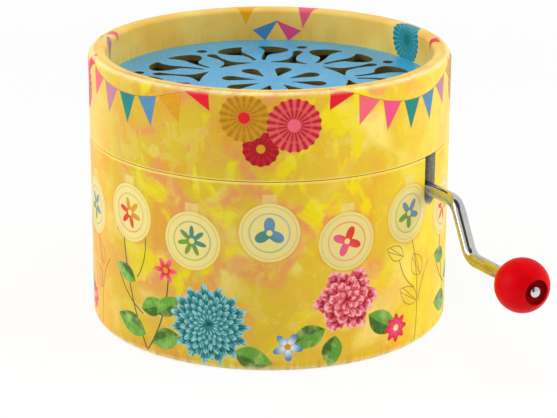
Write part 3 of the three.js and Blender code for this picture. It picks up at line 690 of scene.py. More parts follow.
def lid_print(paint, ink, sizes, wall, top, outer, lip):
    """Swags of bunting and paper rosettes on the wall, and a warm rim inside with a few pennants."""
    drop = top - wall.height - (outer - wall.radius)
    tint = ground(paint, ink, wall, ink.pale, ink.pale, 0.06)
    tint = bunting(paint, ink, sizes, wall, drop, tint)
    x = wrapped(wall.turn, LID_REPEAT) * wall.per_degree
    y = -drop
    scarlet = (0.86, 0.12, 0.12)
    for dx, dy, radius, pleats, dark, light, button in (
        (1.6, 10.3, 3.4, 14, shade(ink.red, 0.42), shade(ink.red, 0.8), ink.gold),
        (4.6, 4.6, 4.6, 18, shade(ink.gold, 0.62), ink.gold, ink.red),
        (-4.4, 6.0, 5.1, 20, shade(ink.red, 0.6), scarlet, ink.pink),
    ):
        tint = rosette(paint, x + dx, y + dy, radius, pleats, dark, light, button, tint)
    inner_drop = top - wall.height + (lip - wall.radius)
    haze = paint.noise(paint.place, 9, 2.0)
    rim = paint.scale(haze, (0.3, (0.90, 0.50, 0.08)), (0.5, (0.94, 0.60, 0.12)), (0.7, (0.97, 0.70, 0.18)))
    per_degree = wall.per_degree * lip / outer
    across = (wall.turn + 360) % 360.0 * per_degree
    for at, hang, slope, drift, half, reach, name, bright in RIM_PENNANTS:
        cloth = shade(getattr(ink, name), bright)
        x, y = across - at * per_degree, inner_drop - hang
        rim = pennant(paint, x, y, slope, drift, half, reach, cloth, rim)
    teal = shade(ink.teal, 0.9)
    x, y = across - 119.5 * per_degree, inner_drop - 4.4
    rim = rosette(paint, x, y, 5.0, 26, teal, (0.06, 0.40, 0.50), teal, rim)
    inside = paint.fade(wall.radius, lip + 0.3, lip - 0.3)
    return paint.mix(inside, tint, rim)


def printed_paper(name, sizes, case, lid):
    """Laminated printed paper over card, pleated where it turns over an edge, pale with wear and a painted
    highlight on its rounds, and with painted shade in its creases.

    Each part of the case has three masks: the paper's pale edge at the seam, the round that wears pale and
    carries a painted highlight, and the pleats, whose creases carry painted shade.
    """
    ink = bpy.context.scene.box_inks
    paint = Painter(name, IOR=1.5, Specular_IOR_Level=0.18)
    outer = case.radius / MM
    wall = Wall(paint, sizes, outer)
    top = high("lid_tube").z / MM
    seam = (low("lid_tube").z + high("base_tube").z) / 2 / MM
    if lid:
        lip = outer - LIP_MIDDLE / MM
        tint = lid_print(paint, ink, sizes, wall, top, outer, lip)
        edge = paint.fade(wall.height, seam + 0.55, seam + 0.2)
        # The lip's outer round wears pale, and this pale also paints a highlight along the lip
        wear_and_highlight = paint.fade(abs(wall.radius - (outer - 0.7)), 0.7, 0.1)
        wear_and_highlight *= paint.fade(wall.height, top - 1.2, top - 0.2)
        pleated = paint.fade(wall.radius, outer - 3.2, outer - 3.8)
        pleated *= paint.fade(wall.height, top - 2.5, top - 6.0)
    else:
        tint = base_print(paint, ink, sizes, wall)
        edge = paint.fade(wall.height, seam - 0.6, seam - 0.25)
        wear_and_highlight = paint.fade(wall.height, 1.5, 0.3)
        pleated = paint.fade(wall.height, 3.0, 0.2)
    # Pale of wear and painted highlight, broken up by a noise
    rub = paint.noise(paint.place, 1.6, 3.0, 0.7)
    tint = paint.mix(wear_and_highlight * paint.fade(rub, 0.3, 0.7, 0.45, 0.85), tint, ink.rubbed_and_highlight)
    tint = paint.mix(edge * 0.6, tint, ink.pale)
    # Painted shade: darker along the creases of the pleats
    creases = paint.noise(paint.vector(wall.turn * 0.42, wall.height * 0.05), 1.0, 2.0, 0.6)
    tint = paint.mix(paint.fade(creases, 0.54, 0.36) * pleated * 0.42, tint, shade(ink.amber, 0.5))
    film = paint.noise(paint.place, 4.5, 2.0)
    fine = paint.noise(paint.place, 0.5, 1.0)
    paint.bump(creases * pleated * 0.22 + film * 0.05 + fine * 0.004)
    return paint.done(tint, film * 0.1 + 0.33)


def raw_card(name, tint, rough=0.9):
    """Grey board with long and short fibres."""
    paint = Painter(name, IOR=1.45)
    fibres = paint.noise(paint.moved("MULTIPLY", 1, 1, 3.2), 0.7, 4.0, 0.65, 0.4)
    specks = paint.noise(paint.place, 0.28, 1.0)
    base = paint.scale(fibres, (0.25, shade(tint, 0.62)), (0.5, tint), (0.75, shade(tint, 1.35)))
    base = paint.mix(paint.fade(specks, 0.68, 0.78) * 0.5, base, shade(tint, 0.4))
    paint.bump(fibres * 0.07 + specks * 0.03)
    return paint.done(base, fibres * 0.15 + rough - 0.1)


def blue_card(name):
    """Sky blue laminated card, a little mottled."""
    paint = Painter(name, IOR=1.5, Specular_IOR_Level=0.34)
    cloud = paint.noise(paint.place, 6, 3.0, 0.6)
    blue = linear(36, 163, 214)
    tint = paint.scale(cloud, (0.3, shade(blue, 0.86)), (0.5, blue), (0.72, shade(blue, 1.12)))
    grain = paint.noise(paint.place, 0.4, 2.0)
    tint = paint.mix(paint.fade(grain, 0.4, 0.75) * 0.16, tint, (0.75, 0.9, 1.0))
    paint.bump(cloud * 0.04 + grain * 0.012)
    return paint.done(tint, grain * 0.12 + 0.24)


def burnt_edge(name):
    """The cut edge of the blue card: olive brown board in dark and light layers."""
    paint = Painter(name, IOR=1.45)
    layers = paint.noise(paint.moved("MULTIPLY", 0.5, 0.5, 6), 0.8, 3.0)
    board = linear(118, 104, 50)
    tint = paint.scale(layers, (0.3, shade(board, 0.5)), (0.7, board))
    paint.bump(layers * 0.05)
    return paint.done(tint, layers * 0.2 + 0.7)


def wood(name):
    """Pale turned wood with rings and pores."""
    paint = Painter(name, IOR=1.45)
    bent = paint.noise(paint.place, 14, 2.0)
    away = ((paint.x - 55) * (paint.x - 55) + paint.z * paint.z * 9).of("SQRT")
    rings = ((away + bent * 5) / 2.1 % 1.0 - 0.5).of("ABSOLUTE")
    pale = linear(205, 165, 112)
    tint = paint.scale(rings, (0.0, shade(pale, 0.62)), (0.22, pale), (0.5, shade(pale, 1.15)))
    pores = paint.noise(paint.moved("MULTIPLY", 4, 0.35, 4), 1.0, 3.0)
    tint = paint.mix(paint.fade(pores, 0.62, 0.72) * 0.5, tint, shade(pale, 0.4))
    paint.bump(rings * 0.03 - pores * 0.05)
    return paint.done(tint, pores * 0.2 + 0.55)


# Metals: tint, roughness, stretch of the marks along each axis, their size and their extra height where cast
METALS = {
    "chrome": ((0.68, 0.68, 0.67), 0.07, (0.2, 1, 1), 0.4, 0.0),
    "brass": ((0.72, 0.50, 0.21), 0.28, (0.15, 1.5, 0.15), 0.8, 0.0),
    "steel": ((0.56, 0.56, 0.57), 0.3, (1, 0.2, 1), 0.5, 0.0),
    "cast zinc": ((0.50, 0.51, 0.52), 0.5, (1, 1, 1), 0.6, 0.03),
    "comb steel": ((0.60, 0.60, 0.60), 0.3, (0.2, 2, 1), 0.6, 0.0),
}


def metal(name):
    """Metal with drawn or cast marks and faint stains."""
    tint, rough, stretch, grain, cast = METALS[name]
    paint = Painter(name, Metallic=1.0)
    marks = paint.noise(paint.moved("MULTIPLY", *stretch), grain, 4.0, 0.6)
    stain = paint.noise(paint.place, 5, 3.0, 0.6)
    base = paint.scale(stain, (0.3, shade(tint, 0.8)), (0.55, tint), (0.75, shade(tint, 1.08)))
    base = paint.mix(paint.fade(marks, 0.35, 0.6) * 0.12, base, shade(tint, 0.6))
    paint.bump(marks * (0.004 + cast))
    return paint.done(base, (marks * 0.12 + stain * 0.08 - 0.1) * (rough * 3) + rough)


def red_lacquer(name):
    """Glossy red paint on a turned ball, darker in the recess, where the darkening is painted shade."""
    paint = Painter(name, IOR=1.5, Specular_IOR_Level=0.05)
    y, z = paint.y - SHAFT_Y / MM, paint.z - KNOB_Z / MM
    away = (y * y + z * z).of("SQRT")
    end = paint.x - (KNOB_X + 3.3 * MM) / MM
    recess = paint.inside(2.38 - away, 0.12) * paint.inside(end, 0.2)
    cloud = paint.noise(paint.place, 3, 3.0)
    red = linear(212, 2, 12)
    tint = paint.scale(cloud, (0.3, shade(red, 0.9)), (0.7, shade(red, 1.06)))
    # Painted shade in the recess
    tint = paint.mix(recess * 0.8, tint, shade(red, 0.28))
    fine = paint.noise(paint.place, 0.5, 2.0)
    paint.bump(cloud * 0.02 + fine * 0.002)
    return paint.done(tint, recess * 0.3 + fine * 0.06 + 0.36)


# Shapes


def finish_mesh(piece, sharp=32.0):
    """Joins equal points, turns the faces outwards, and keeps only real corners sharp."""
    made = bmesh.new()
    made.from_mesh(piece.data)
    bmesh.ops.remove_doubles(made, verts=made.verts, dist=WELD)
    bmesh.ops.recalc_face_normals(made, faces=made.faces)
    for face in made.faces:
        face.smooth = True
    for edge in made.edges:
        edge.smooth = edge.calc_face_angle(0) < math.radians(sharp)
    made.to_mesh(piece.data)
    made.free()
    return piece


def mesh_piece(name, points, faces, *finishes, edges=()):
    mesh = bpy.data.meshes.new(name)
    mesh.from_pydata([tuple(p) for p in points], edges, faces)
    piece = bpy.data.objects.new(name, mesh)
    bpy.context.scene.collection.objects.link(piece)
    for finish in finishes:
        mesh.materials.append(finish)
    return piece


def arc(x, y, radius, start, end, steps):
    """Points of an arc in degrees, both ends kept."""
    turns = [math.radians(start + (end - start) * i / steps) for i in range(steps + 1)]
    return [(x + radius * math.cos(t), y + radius * math.sin(t)) for t in turns]


def turned(name, profile, segments, finish, where=None):
    """A body turned about Z from (radius, height) points, closed on the axis or on itself."""
    points, faces, rings = [], [], []
    for radius, height in profile:
        first = len(points)
        steps = 1 if radius < WELD else segments
        rings.append([first + i % steps for i in range(segments)])
        for i in range(steps):
            angle = math.tau * i / segments
            points.append((radius * math.cos(angle), radius * math.sin(angle), height))
    closed = profile[0][0] > WELD and profile[-1][0] > WELD
    pairs = zip(rings, rings[1:] + rings[:1]) if closed else zip(rings, rings[1:])
    for under, over in pairs:
        for i in range(segments):
            j = (i + 1) % segments
            face = list(dict.fromkeys((under[i], under[j], over[j], over[i])))
            if len(face) > 2:
                faces.append(face)
    piece = mesh_piece(name, points, faces, finish)
    if where is not None:
        piece.data.transform(where)
    return finish_mesh(piece)


def along_x(x, y, z):
    return Matrix.Translation((x, y, z)) @ Matrix.Rotation(math.pi / 2, 4, "Y")


def along_y(x, y, z):
    return Matrix.Translation((x, y, z)) @ Matrix.Rotation(-math.pi / 2, 4, "X")


def settle(piece):
    """Turns a piece with modifiers into one plain mesh."""
    graph = bpy.context.evaluated_depsgraph_get()
    mesh = bpy.data.meshes.new_from_object(piece.evaluated_get(graph), depsgraph=graph)
    piece.modifiers.clear()
    piece.data = mesh
    return piece


def discard(piece):
    bpy.data.objects.remove(piece, do_unlink=True)


def combined(piece, other, operation, **settings):
    """Joins another solid to the piece, or takes it out of it."""
    tool = piece.modifiers.new("solids", "BOOLEAN")
    tool.operation, tool.solver, tool.object = operation, "EXACT", other
    for key, value in settings.items():
        setattr(tool, key, value)
    settle(piece)
    discard(other)
    return piece


def cut(piece, cutter):
    """Takes the cutter out of the piece. The cut faces keep the cutter's finish."""
    return combined(piece, cutter, "DIFFERENCE", material_mode="TRANSFER")


def softened(piece, width):
    """Bevels every real corner."""
    tool = piece.modifiers.new("edges", "BEVEL")
    tool.width, tool.segments, tool.limit_method = width, 2, "ANGLE"
    tool.angle_limit, tool.harden_normals = math.radians(30), False
    return settle(piece)


def copy_of(node, name, finish, width):
    """A CAD node's own shape with its edges softened."""
    piece = bpy.data.objects.new(name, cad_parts[node].data.copy())
    bpy.context.scene.collection.objects.link(piece)
    piece.data.materials.clear()
    piece.data.materials.append(finish)
    finish_mesh(piece)
    made = bmesh.new()
    made.from_mesh(piece.data)
    bmesh.ops.dissolve_limit(made, angle_limit=math.radians(1), verts=made.verts, edges=made.edges)
    made.to_mesh(piece.data)
    made.free()
    softened(piece, width)
    return finish_mesh(piece, sharp=40)


def place(piece, body, slot, *nodes):
    """Ties the piece to its body, in place of the CAD nodes that it stands for. The slot is not used."""
    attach(piece, body)
    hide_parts(*nodes)
    return piece


def slot_cutter(half, bottom, top, reach, finish, steps=16):
    """A prism along X with a round foot, open at the top."""
    left, right = SHAFT_Y - half, SHAFT_Y + half
    shape = [(left, top), *arc(SHAFT_Y, bottom + half, half, 180, 360, steps), (right, top)]
    n = len(shape)
    points = [(x, y, z) for x in (0, reach) for y, z in shape]
    sides = [(i, (i + 1) % n, (i + 1) % n + n, i + n) for i in range(n)]
    caps = [tuple(range(n)), tuple(range(2 * n - 1, n - 1, -1))]
    return finish_mesh(mesh_piece("slot_cutter", points, sides + caps, finish))


class Tree(Graph):
    """A Geometry Nodes tree with named sizes, which shapes one piece and leaves it a plain mesh."""

    kinds = {float: "NodeSocketFloat", int: "NodeSocketInt"}

    def __init__(self, name, **sizes):
        super().__init__(bpy.data.node_groups.new(name, "GeometryNodeTree"))
        face = self.tree.interface
        face.new_socket("Geometry", in_out="INPUT", socket_type="NodeSocketGeometry")
        self.values = {}
        for label, value in sizes.items():
            name, kind = label.replace("_", " "), self.kinds[type(value)]
            made = face.new_socket(name, in_out="INPUT", socket_type=kind)
            self.values[made.identifier] = value
        face.new_socket("Geometry", in_out="OUTPUT", socket_type="NodeSocketGeometry")
        entry = self.tree.nodes.new("NodeGroupInput").outputs
        self.start = entry[0]
        self.sizes = [Field(self, entry[i + 1]) for i in range(len(sizes))]

    def shape(self, kind, settings=None, **inputs):
        """The geometry that a node makes."""
        return self.node("GeometryNode" + kind, settings, **inputs).outputs[0]

    def index(self):
        return Field(self, self.shape("InputIndex"))

    def joined(self, *parts):
        made = self.node("GeometryNodeJoinGeometry")
        for part in parts:
            self.tree.links.new(part, made.inputs[0])
        return made.outputs[0]

    def finish(self, geometry, *coats):
        """Ends the tree: plain geometry, and then each coat as a material and the faces that take it."""
        last = self.shape("RealizeInstances", Geometry=geometry)
        for finish, chosen in coats:
            last = self.shape("SetMaterial", Geometry=last, Material=finish, Selection=chosen)
        self.tree.links.new(last, self.tree.nodes.new("NodeGroupOutput").inputs[0])
        return self

    def run(self, piece):
        """Lets the tree shape a piece, then leaves it a plain mesh."""
        shaper = piece.modifiers.new("shape", "NODES")
        shaper.node_group = self.tree
        for identifier, value in self.values.items():
            shaper[identifier] = value
        return settle(piece)


def coat(piece, finish, chosen):
    """Gives one finish to the faces that the rule picks by their middle and normal."""
    piece.data.materials.append(finish)
    index = len(piece.data.materials) - 1
    for face in piece.data.polygons:
        if chosen(face.center, face.normal):
            face.material_index = index


def radius_of(point):
    return math.hypot(point.x, point.y)


def tube_profile(outer, inner, bottom, top, rounds):
    """A tube's section, outside upwards, with its four rounds: foot, outer lip, inner lip, inner foot."""
    foot, lip_out, lip_in, heel = rounds
    corners = (
        (outer - foot, bottom + foot, foot, -90),
        (outer - lip_out, top - lip_out, lip_out, 0),
        (inner + lip_in, top - lip_in, lip_in, 90),
        (inner + heel, bottom + heel, heel, 180),
    )
    points = []
    for (x, y, radius, start), steps in zip(corners, (8, 10, 8, 4)):
        points += arc(x, y, radius, start, start + 90, steps)
    return points


def card_ring(name, node, wall, sizes, finish):
    """A plain ring of card in a CAD node's place, with softened edges."""
    outer = high(node).x
    rounds = (sizes.edge_round,) * 4
    profile = tube_profile(outer, outer - wall, low(node).z, high(node).z, rounds)
    return turned(name, profile, sizes.facets, finish)


class MakeCase(bpy.types.Operator):
    """Makes the base tube with its crank slot, its floor, its collar and the wood plinth"""

    bl_idname = "musicbox.make_case"
    bl_label = "Make case"

    def execute(self, context):
        sizes, prints = context.scene.box_case, context.scene.box_print
        board = raw_card("bare board", linear(150, 138, 112))
        # The slot's cut faces get near-white board: painted light standing in for the light that the deep
        # slot lacks
        slot_faces_painted_light = raw_card("cut board", linear(238, 238, 228), 0.75)
        paper = printed_paper("printed base", prints, sizes, False)
        bottom, top = low("base_tube").z, high("base_tube").z + sizes.paper_edge
        inner = sizes.radius - sizes.wall
        edge = sizes.edge_round
        profile = tube_profile(sizes.radius, inner, bottom, top, (sizes.foot_round, edge, edge, edge))
        shell = turned("base_shell", profile, sizes.facets, paper)
        slot_bottom = SHAFT_Z - sizes.slot_drop
        half = sizes.slot_width / 2
        reach = sizes.radius + sizes.wall
        covered = sizes.radius - PAPER_WRAP
        coat(shell, board, lambda at, way: radius_of(at) < covered and at.z > 2 * sizes.foot_round)
        slot_top = high("inner_collar").z + sizes.wall
        cut(shell, slot_cutter(half, slot_bottom, slot_top, reach, slot_faces_painted_light))
        place(finish_mesh(shell), "case", "printed_card", "base_tube")

        collar = card_ring("collar_sleeve", "inner_collar", sizes.collar_wall, sizes, board)
        margin = sizes.collar_margin
        cut(collar, slot_cutter(half + margin, slot_bottom - margin, slot_top, reach, slot_faces_painted_light))
        place(finish_mesh(collar), "case", "raw_card", "inner_collar")

        plain = Painter("plain paper", Roughness=0.45)
        ink = context.scene.box_inks
        wall = Wall(plain, prints, sizes.radius / MM)
        washes = ground(plain, ink, wall, ink.pale, ink.pale)
        floor_paper = plain.done(plain.mix(0.35, washes, shade(ink.cream, 0.9)))
        radius, thick, soft = high("base_disc").x, high("base_disc").z, 0.5 * MM
        rounded = [(0, 0), *arc(radius - soft, soft, soft, -90, 0, 6), (radius, thick), (0, thick)]
        floor = turned("floor_disc", rounded, sizes.facets, floor_paper)
        coat(floor, board, lambda at, way: way.z > 0.5)
        place(floor, "case", "printed_card", "base_disc")

        radius, bottom, top, soft = high("plinth").x, low("plinth").z, high("plinth").z, 0.4 * MM
        rounded = [(0, bottom), (radius, bottom), *arc(radius - soft, top - soft, soft, 0, 90, 6), (0, top)]
        plinth = turned("wood_plinth", rounded, 180, wood("plinth wood"))
        place(plinth, "case", "wood", "plinth")
        return {"FINISHED"}


class MakeLid(bpy.types.Operator):
    """Makes the lid's printed wall and lip, and the liner inside"""

    bl_idname = "musicbox.make_lid"
    bl_label = "Make lid"

    def execute(self, context):
        sizes, prints = context.scene.box_case, context.scene.box_print
        board = bpy.data.materials["bare board"]
        paper = printed_paper("printed lid", prints, sizes, True)
        bottom, top = low("lid_tube").z, high("lid_tube").z
        shelf = high("grille_disc").z
        rim = high("rim_ring").x - sizes.rim_wall
        bore = sizes.radius - sizes.wall
        edge = sizes.edge_round
        rounds = (edge, sizes.lip_outer, sizes.lip_inner, edge)
        outline = tube_profile(sizes.radius, rim, bottom, top, rounds)
        upper = [point for point in outline if point[1] > shelf + edge or point[0] > bore + edge]
        soft = edge / 2
        profile = [*upper, (rim, shelf), (bore, shelf), (bore, bottom + soft), (bore + soft, bottom)]
        shell = turned("lid_shell", profile, sizes.facets, paper)
        covered = sizes.radius - PAPER_WRAP
        coat(shell, board, lambda at, way: at.z < shelf + WELD and radius_of(at) < covered)
        place(shell, "lid", "printed_card", "lid_tube", "rim_ring")

        liner = card_ring("liner_ring", "lid_liner", sizes.collar_wall, sizes, board)
        place(liner, "lid", "raw_card", "lid_liner")
        return {"FINISHED"}


# Holes of the grille, as shares of the pattern radius and turns in degrees from each hole's own axis
DROP_SHARES = {"tip": 0.115, "end": 0.353, "half": 0.057}
EYE_SHARES = {"place": 0.926, "radius": 0.037}
NECK_SHARES = (
    (0.483, 0), (0.485, 9), (0.494, 15.5), (0.536, 7.1), (0.573, 3.4),
    (0.676, 1.5), (0.748, 2.1), (0.797, 2.6), (0.83, 0),
)
COMMA_SHARES = (
    (0.927, 3.6), (0.927, 9.5), (0.887, 15.2), (0.833, 17.4), (0.751, 14.2), (0.704, 8.2), (0.628, 5.5),
    (0.555, 4), (0.558, 2.3), (0.652, 3), (0.736, 4.6), (0.809, 5.6), (0.881, 4.6),
)


def smooth_loop(corners, steps):
    """A closed smooth curve through the corners, with its speed eased where they lie close."""
    points = []
    size = len(corners)
    for i in range(size):
        a, b, c, d = (Vector(corners[(i + k - 1) % size]) for k in range(4))
        first, middle, last = (max((q - p).length, 1e-9) ** 0.5 for p, q in ((a, b), (b, c), (c, d)))
        leave = ((b - a) / first - (c - a) / (first + middle) + (c - b) / middle) * middle
        arrive = ((c - b) / middle - (d - b) / (middle + last) + (d - c) / last) * middle
        for k in range(steps):
            t = k / steps
            square, cube = t**2, t**3
            point = b * (2 * cube - 3 * square + 1) + leave * (cube - 2 * square + t)
            points.append(point + c * (3 * square - 2 * cube) + arrive * (cube - square))
    return points


def at_turn(out, degrees, radius):
    angle = math.radians(degrees)
    return out * radius * math.cos(angle), out * radius * math.sin(angle)


def sector_holes(radius, petals):
    """The holes of one sector of the rosette."""
    between = 180 / petals
    neck = [at_turn(s, d, radius) for s, d in NECK_SHARES]
    neck += [at_turn(s, -d, radius) for s, d in reversed(NECK_SHARES[1:-1])]
    loops = [smooth_loop(neck, 6)]
    for side in (1, -1):
        loops.append(smooth_loop([at_turn(s, between + side * d, radius) for s, d in COMMA_SHARES], 6))
    tip, end, half = (DROP_SHARES[k] * radius for k in ("tip", "end", "half"))
    lean = math.degrees(math.acos(half / (end - half - tip)))
    loops.append([Vector((tip, 0)), *map(Vector, arc(end - half, 0, half, lean - 180, 180 - lean, 28))])
    x, y = at_turn(EYE_SHARES["place"], 0, radius)
    loops.append([Vector(p) for p in arc(x, y, EYE_SHARES["radius"] * radius, 0, 360, 32)[:-1]])
    return loops


class MakeGrille(bpy.types.Operator):
    """Makes the pierced blue disc: one sector of holes, repeated round the centre of a card disc"""

    bl_idname = "musicbox.make_grille"
    bl_label = "Make grille"

    def execute(self, context):
        sizes = context.scene.box_grille
        bottom, top = low("grille_disc").z, high("grille_disc").z
        points, edges = [], []
        for loop in sector_holes(sizes.pattern_radius, sizes.petals):
            first = len(points)
            points += [(p.x, p.y, 0) for p in loop]
            edges += [(first + i, first + (i + 1) % len(loop)) for i in range(len(loop))]
        piece = mesh_piece("pierced_disc", points, [], edges=edges)
        tree = Tree(
            "Pierced disc",
            Radius=high("grille_disc").x,
            Thickness=top - bottom,
            Height=bottom,
            Petals=sizes.petals,
            Turn=sizes.pattern_turn,
            Off_centre=sizes.off_centre,
        )
        radius, thick, height, petals, first_turn, off_centre = tree.sizes
        holes = tree.shape("MeshToCurve", Mesh=tree.start)
        angle = tree.index() * math.tau / petals + first_turn
        spread = tree.shape("Points", Count=petals, Position=tree.vector(x=off_centre))
        ring = tree.shape("InstanceOnPoints", Points=spread, Instance=holes, Rotation=tree.vector(z=angle))
        plain = tree.shape("RealizeInstances", Geometry=ring)
        edge = tree.shape("CurvePrimitiveCircle", Resolution=360, Radius=radius)
        sheet = tree.shape("FillCurve", Curve=tree.joined(edge, plain))
        faces, rise = {"mode": "FACES"}, {"Offset": tree.vector(z=thick), "Offset_Scale": 1.0}
        raised = tree.shape("ExtrudeMesh", faces, Mesh=sheet, **rise, Individual=False)
        whole = tree.joined(tree.shape("FlipFaces", Mesh=sheet), raised)
        moved = tree.shape("SetPosition", Geometry=whole, Offset=tree.vector(z=height))
        merged = tree.shape("MergeByDistance", Geometry=moved, Distance=WELD)
        facing = tree.node("ShaderNodeSeparateXYZ", Vector=tree.shape("InputNormal")).outputs["Z"]
        upper = Field(tree, facing).of("GREATER_THAN", 0.5)
        tree.finish(merged, (burnt_edge("burnt edge"), True), (blue_card("blue card"), upper)).run(piece)
        place(finish_mesh(piece), "lid", "grille_blue", "grille_disc")
        return {"FINISHED"}


class MakeCrank(bpy.types.Operator):
    """Makes the polished rod with its two bends and the riveted head that holds the knob"""

    bl_idname = "musicbox.make_crank"
    bl_label = "Make crank"

    def execute(self, context):
        sizes = context.scene.box_crank
        first = WALL_EXIT + sizes.standoff
        shoulder = KNOB_X + sizes.shoulder
        stops = [
            (low("crank_rod").x, SHAFT_Y, SHAFT_Z),
            (first, SHAFT_Y, SHAFT_Z),
            (first + sizes.arm_out, SHAFT_Y, KNOB_Z),
            (shoulder, SHAFT_Y, KNOB_Z),
        ]
        rod = mesh_piece("polished_rod", stops, [], edges=[(0, 1), (1, 2), (2, 3)])
        chrome = metal("chrome")
        tree = Tree(
            "Bent rod",
            Rod_radius=sizes.rod_radius,
            Bend_radius=sizes.bend_radius,
            Bend_steps=24,
            Ring_spacing=0.35 * MM,
        )
        rod_radius, bend_radius, steps, spacing = tree.sizes
        path = tree.shape("MeshToCurve", Mesh=tree.start)
        bent = tree.shape("FilletCurve", {"mode": "POLY"}, Curve=path, Radius=bend_radius, Count=steps)
        fine = tree.shape("ResampleCurve", {"mode": "LENGTH"}, Curve=bent, Length=spacing)
        section = tree.shape("CurvePrimitiveCircle", Resolution=40, Radius=rod_radius)
        tube = tree.shape("CurveToMesh", Curve=fine, Profile_Curve=section, Fill_Caps=True)
        tree.finish(tube, (chrome, True)).run(rod)
        finish_mesh(rod)
        shank, head = sizes.pin_radius, sizes.head_radius
        under_head = sizes.recess_floor + sizes.head_play
        dome = PIN_TIP - under_head
        profile = [(0, 0), (shank, 0), (shank, under_head), (head, under_head)]
        crown = arc(0, under_head, dome, 12, 90, 10)[:-1]
        profile += [(x * head / dome, y) for x, y in crown] + [(0, PIN_TIP)]
        pin = turned("pin", profile, 32, chrome, along_x(KNOB_X, SHAFT_Y, KNOB_Z))
        combined(rod, pin, "UNION")
        place(finish_mesh(rod, sharp=40), "crank", "chrome", "crank_rod")
        return {"FINISHED"}


class MakeKnob(bpy.types.Operator):
    """Makes the red ball with its bore and the recess for the rod's head"""

    bl_idname = "musicbox.make_knob"
    bl_label = "Make knob"

    def execute(self, context):
        sizes = context.scene.box_crank
        ball, bore = sizes.knob_radius, sizes.rod_radius + sizes.bore_play
        recess, web, soft = sizes.recess_radius, sizes.web_bore, sizes.mouth_round
        floor, floor_round = sizes.recess_floor, sizes.recess_round
        start = -math.degrees(math.acos((bore + soft) / ball))
        end = math.degrees(math.acos((recess + soft) / ball))
        mouth = ball * math.sin(math.radians(end))
        entry = ball * math.sin(math.radians(start))
        profile = [
            (bore, entry + soft),
            (bore + soft * 0.3, entry + soft * 0.3),
            *arc(0, 0, ball, start, end, 72),
            (recess + soft * 0.3, mouth - soft * 0.25),
            (recess, mouth - soft),
            *arc(recess - floor_round, floor + floor_round, floor_round, 0, -90, 5),
            (web, floor),
            (web, sizes.web_start),
            (bore, sizes.web_start),
        ]
        knob = turned("red_knob", profile, 96, red_lacquer("red lacquer"), along_x(KNOB_X, SHAFT_Y, KNOB_Z))
        place(knob, "knob", "red_lacquer", "knob")
        return {"FINISHED"}


class MakeDrum(bpy.types.Operator):
    """Makes the pinned drum: Geometry Nodes set the pins round the tube in a steady turn and stride"""

    bl_idname = "musicbox.make_drum"
    bl_label = "Make drum"

    def execute(self, context):
        sizes = context.scene.box_movement
        brass = metal("brass")
        half = (high("drum").y - low("drum").y) / 2
        radius, wall, soft = sizes.drum_radius, sizes.drum_wall, 0.08 * MM
        profile = tube_profile(radius, radius - wall, -half, half, (soft,) * 4)
        drum = turned("pinned_drum", profile, 128, brass, along_y(0, 0, 0))
        tree = Tree(
            "Drum pins",
            Pins=sizes.pins,
            Stride=sizes.pin_stride,
            Teeth=sizes.teeth,
            Pitch=sizes.tooth_pitch,
            Drum_radius=radius - wall / 2,
            Pin_radius=sizes.pin_radius,
            Pin_length=sizes.pin_height + wall / 2,
            Turn_between_pins=math.pi * (3 - math.sqrt(5)),
        )
        pins, stride, teeth, pitch, foot, pin_radius, reach, step = tree.sizes
        index = tree.index()
        angle = index * step
        tooth = index * stride % teeth
        across = (tooth - (teeth - 1.0) * 0.5) * pitch
        away = foot + reach * 0.5
        spot = tree.vector(angle.of("SINE") * away, across, angle.of("COSINE") * away)
        spread = tree.shape("Points", Count=pins, Position=spot)
        pin = tree.shape("MeshCylinder", Vertices=12, Radius=pin_radius, Depth=reach)
        ring = tree.shape("InstanceOnPoints", Points=spread, Instance=pin, Rotation=tree.vector(y=angle))
        tree.finish(tree.joined(ring, tree.start), (brass, True)).run(drum)
        drum.data.transform(Matrix.Translation((DRUM_X, 0, DRUM_Z)))
        place(finish_mesh(drum), "drum", "brass", "drum")
        steel = metal("steel")
        soft = sizes.edge_round
        for node, name, body, slot, finish, width in (
            ("drum_end_left", "drum_end_left_cap", "drum", "brass", brass, soft),
            ("drum_end_right", "drum_end_right_cap", "drum", "brass", brass, soft),
            ("drum_wheel", "worm_wheel", "drum", "brass", brass, soft),
            ("drum_arbor", "arbor_pin", "drum", "steel", steel, soft),
            ("worm", "worm_screw", "crank", "brass", brass, soft / 2),
        ):
            place(copy_of(node, name, finish, width), body, slot, node)
        return {"FINISHED"}


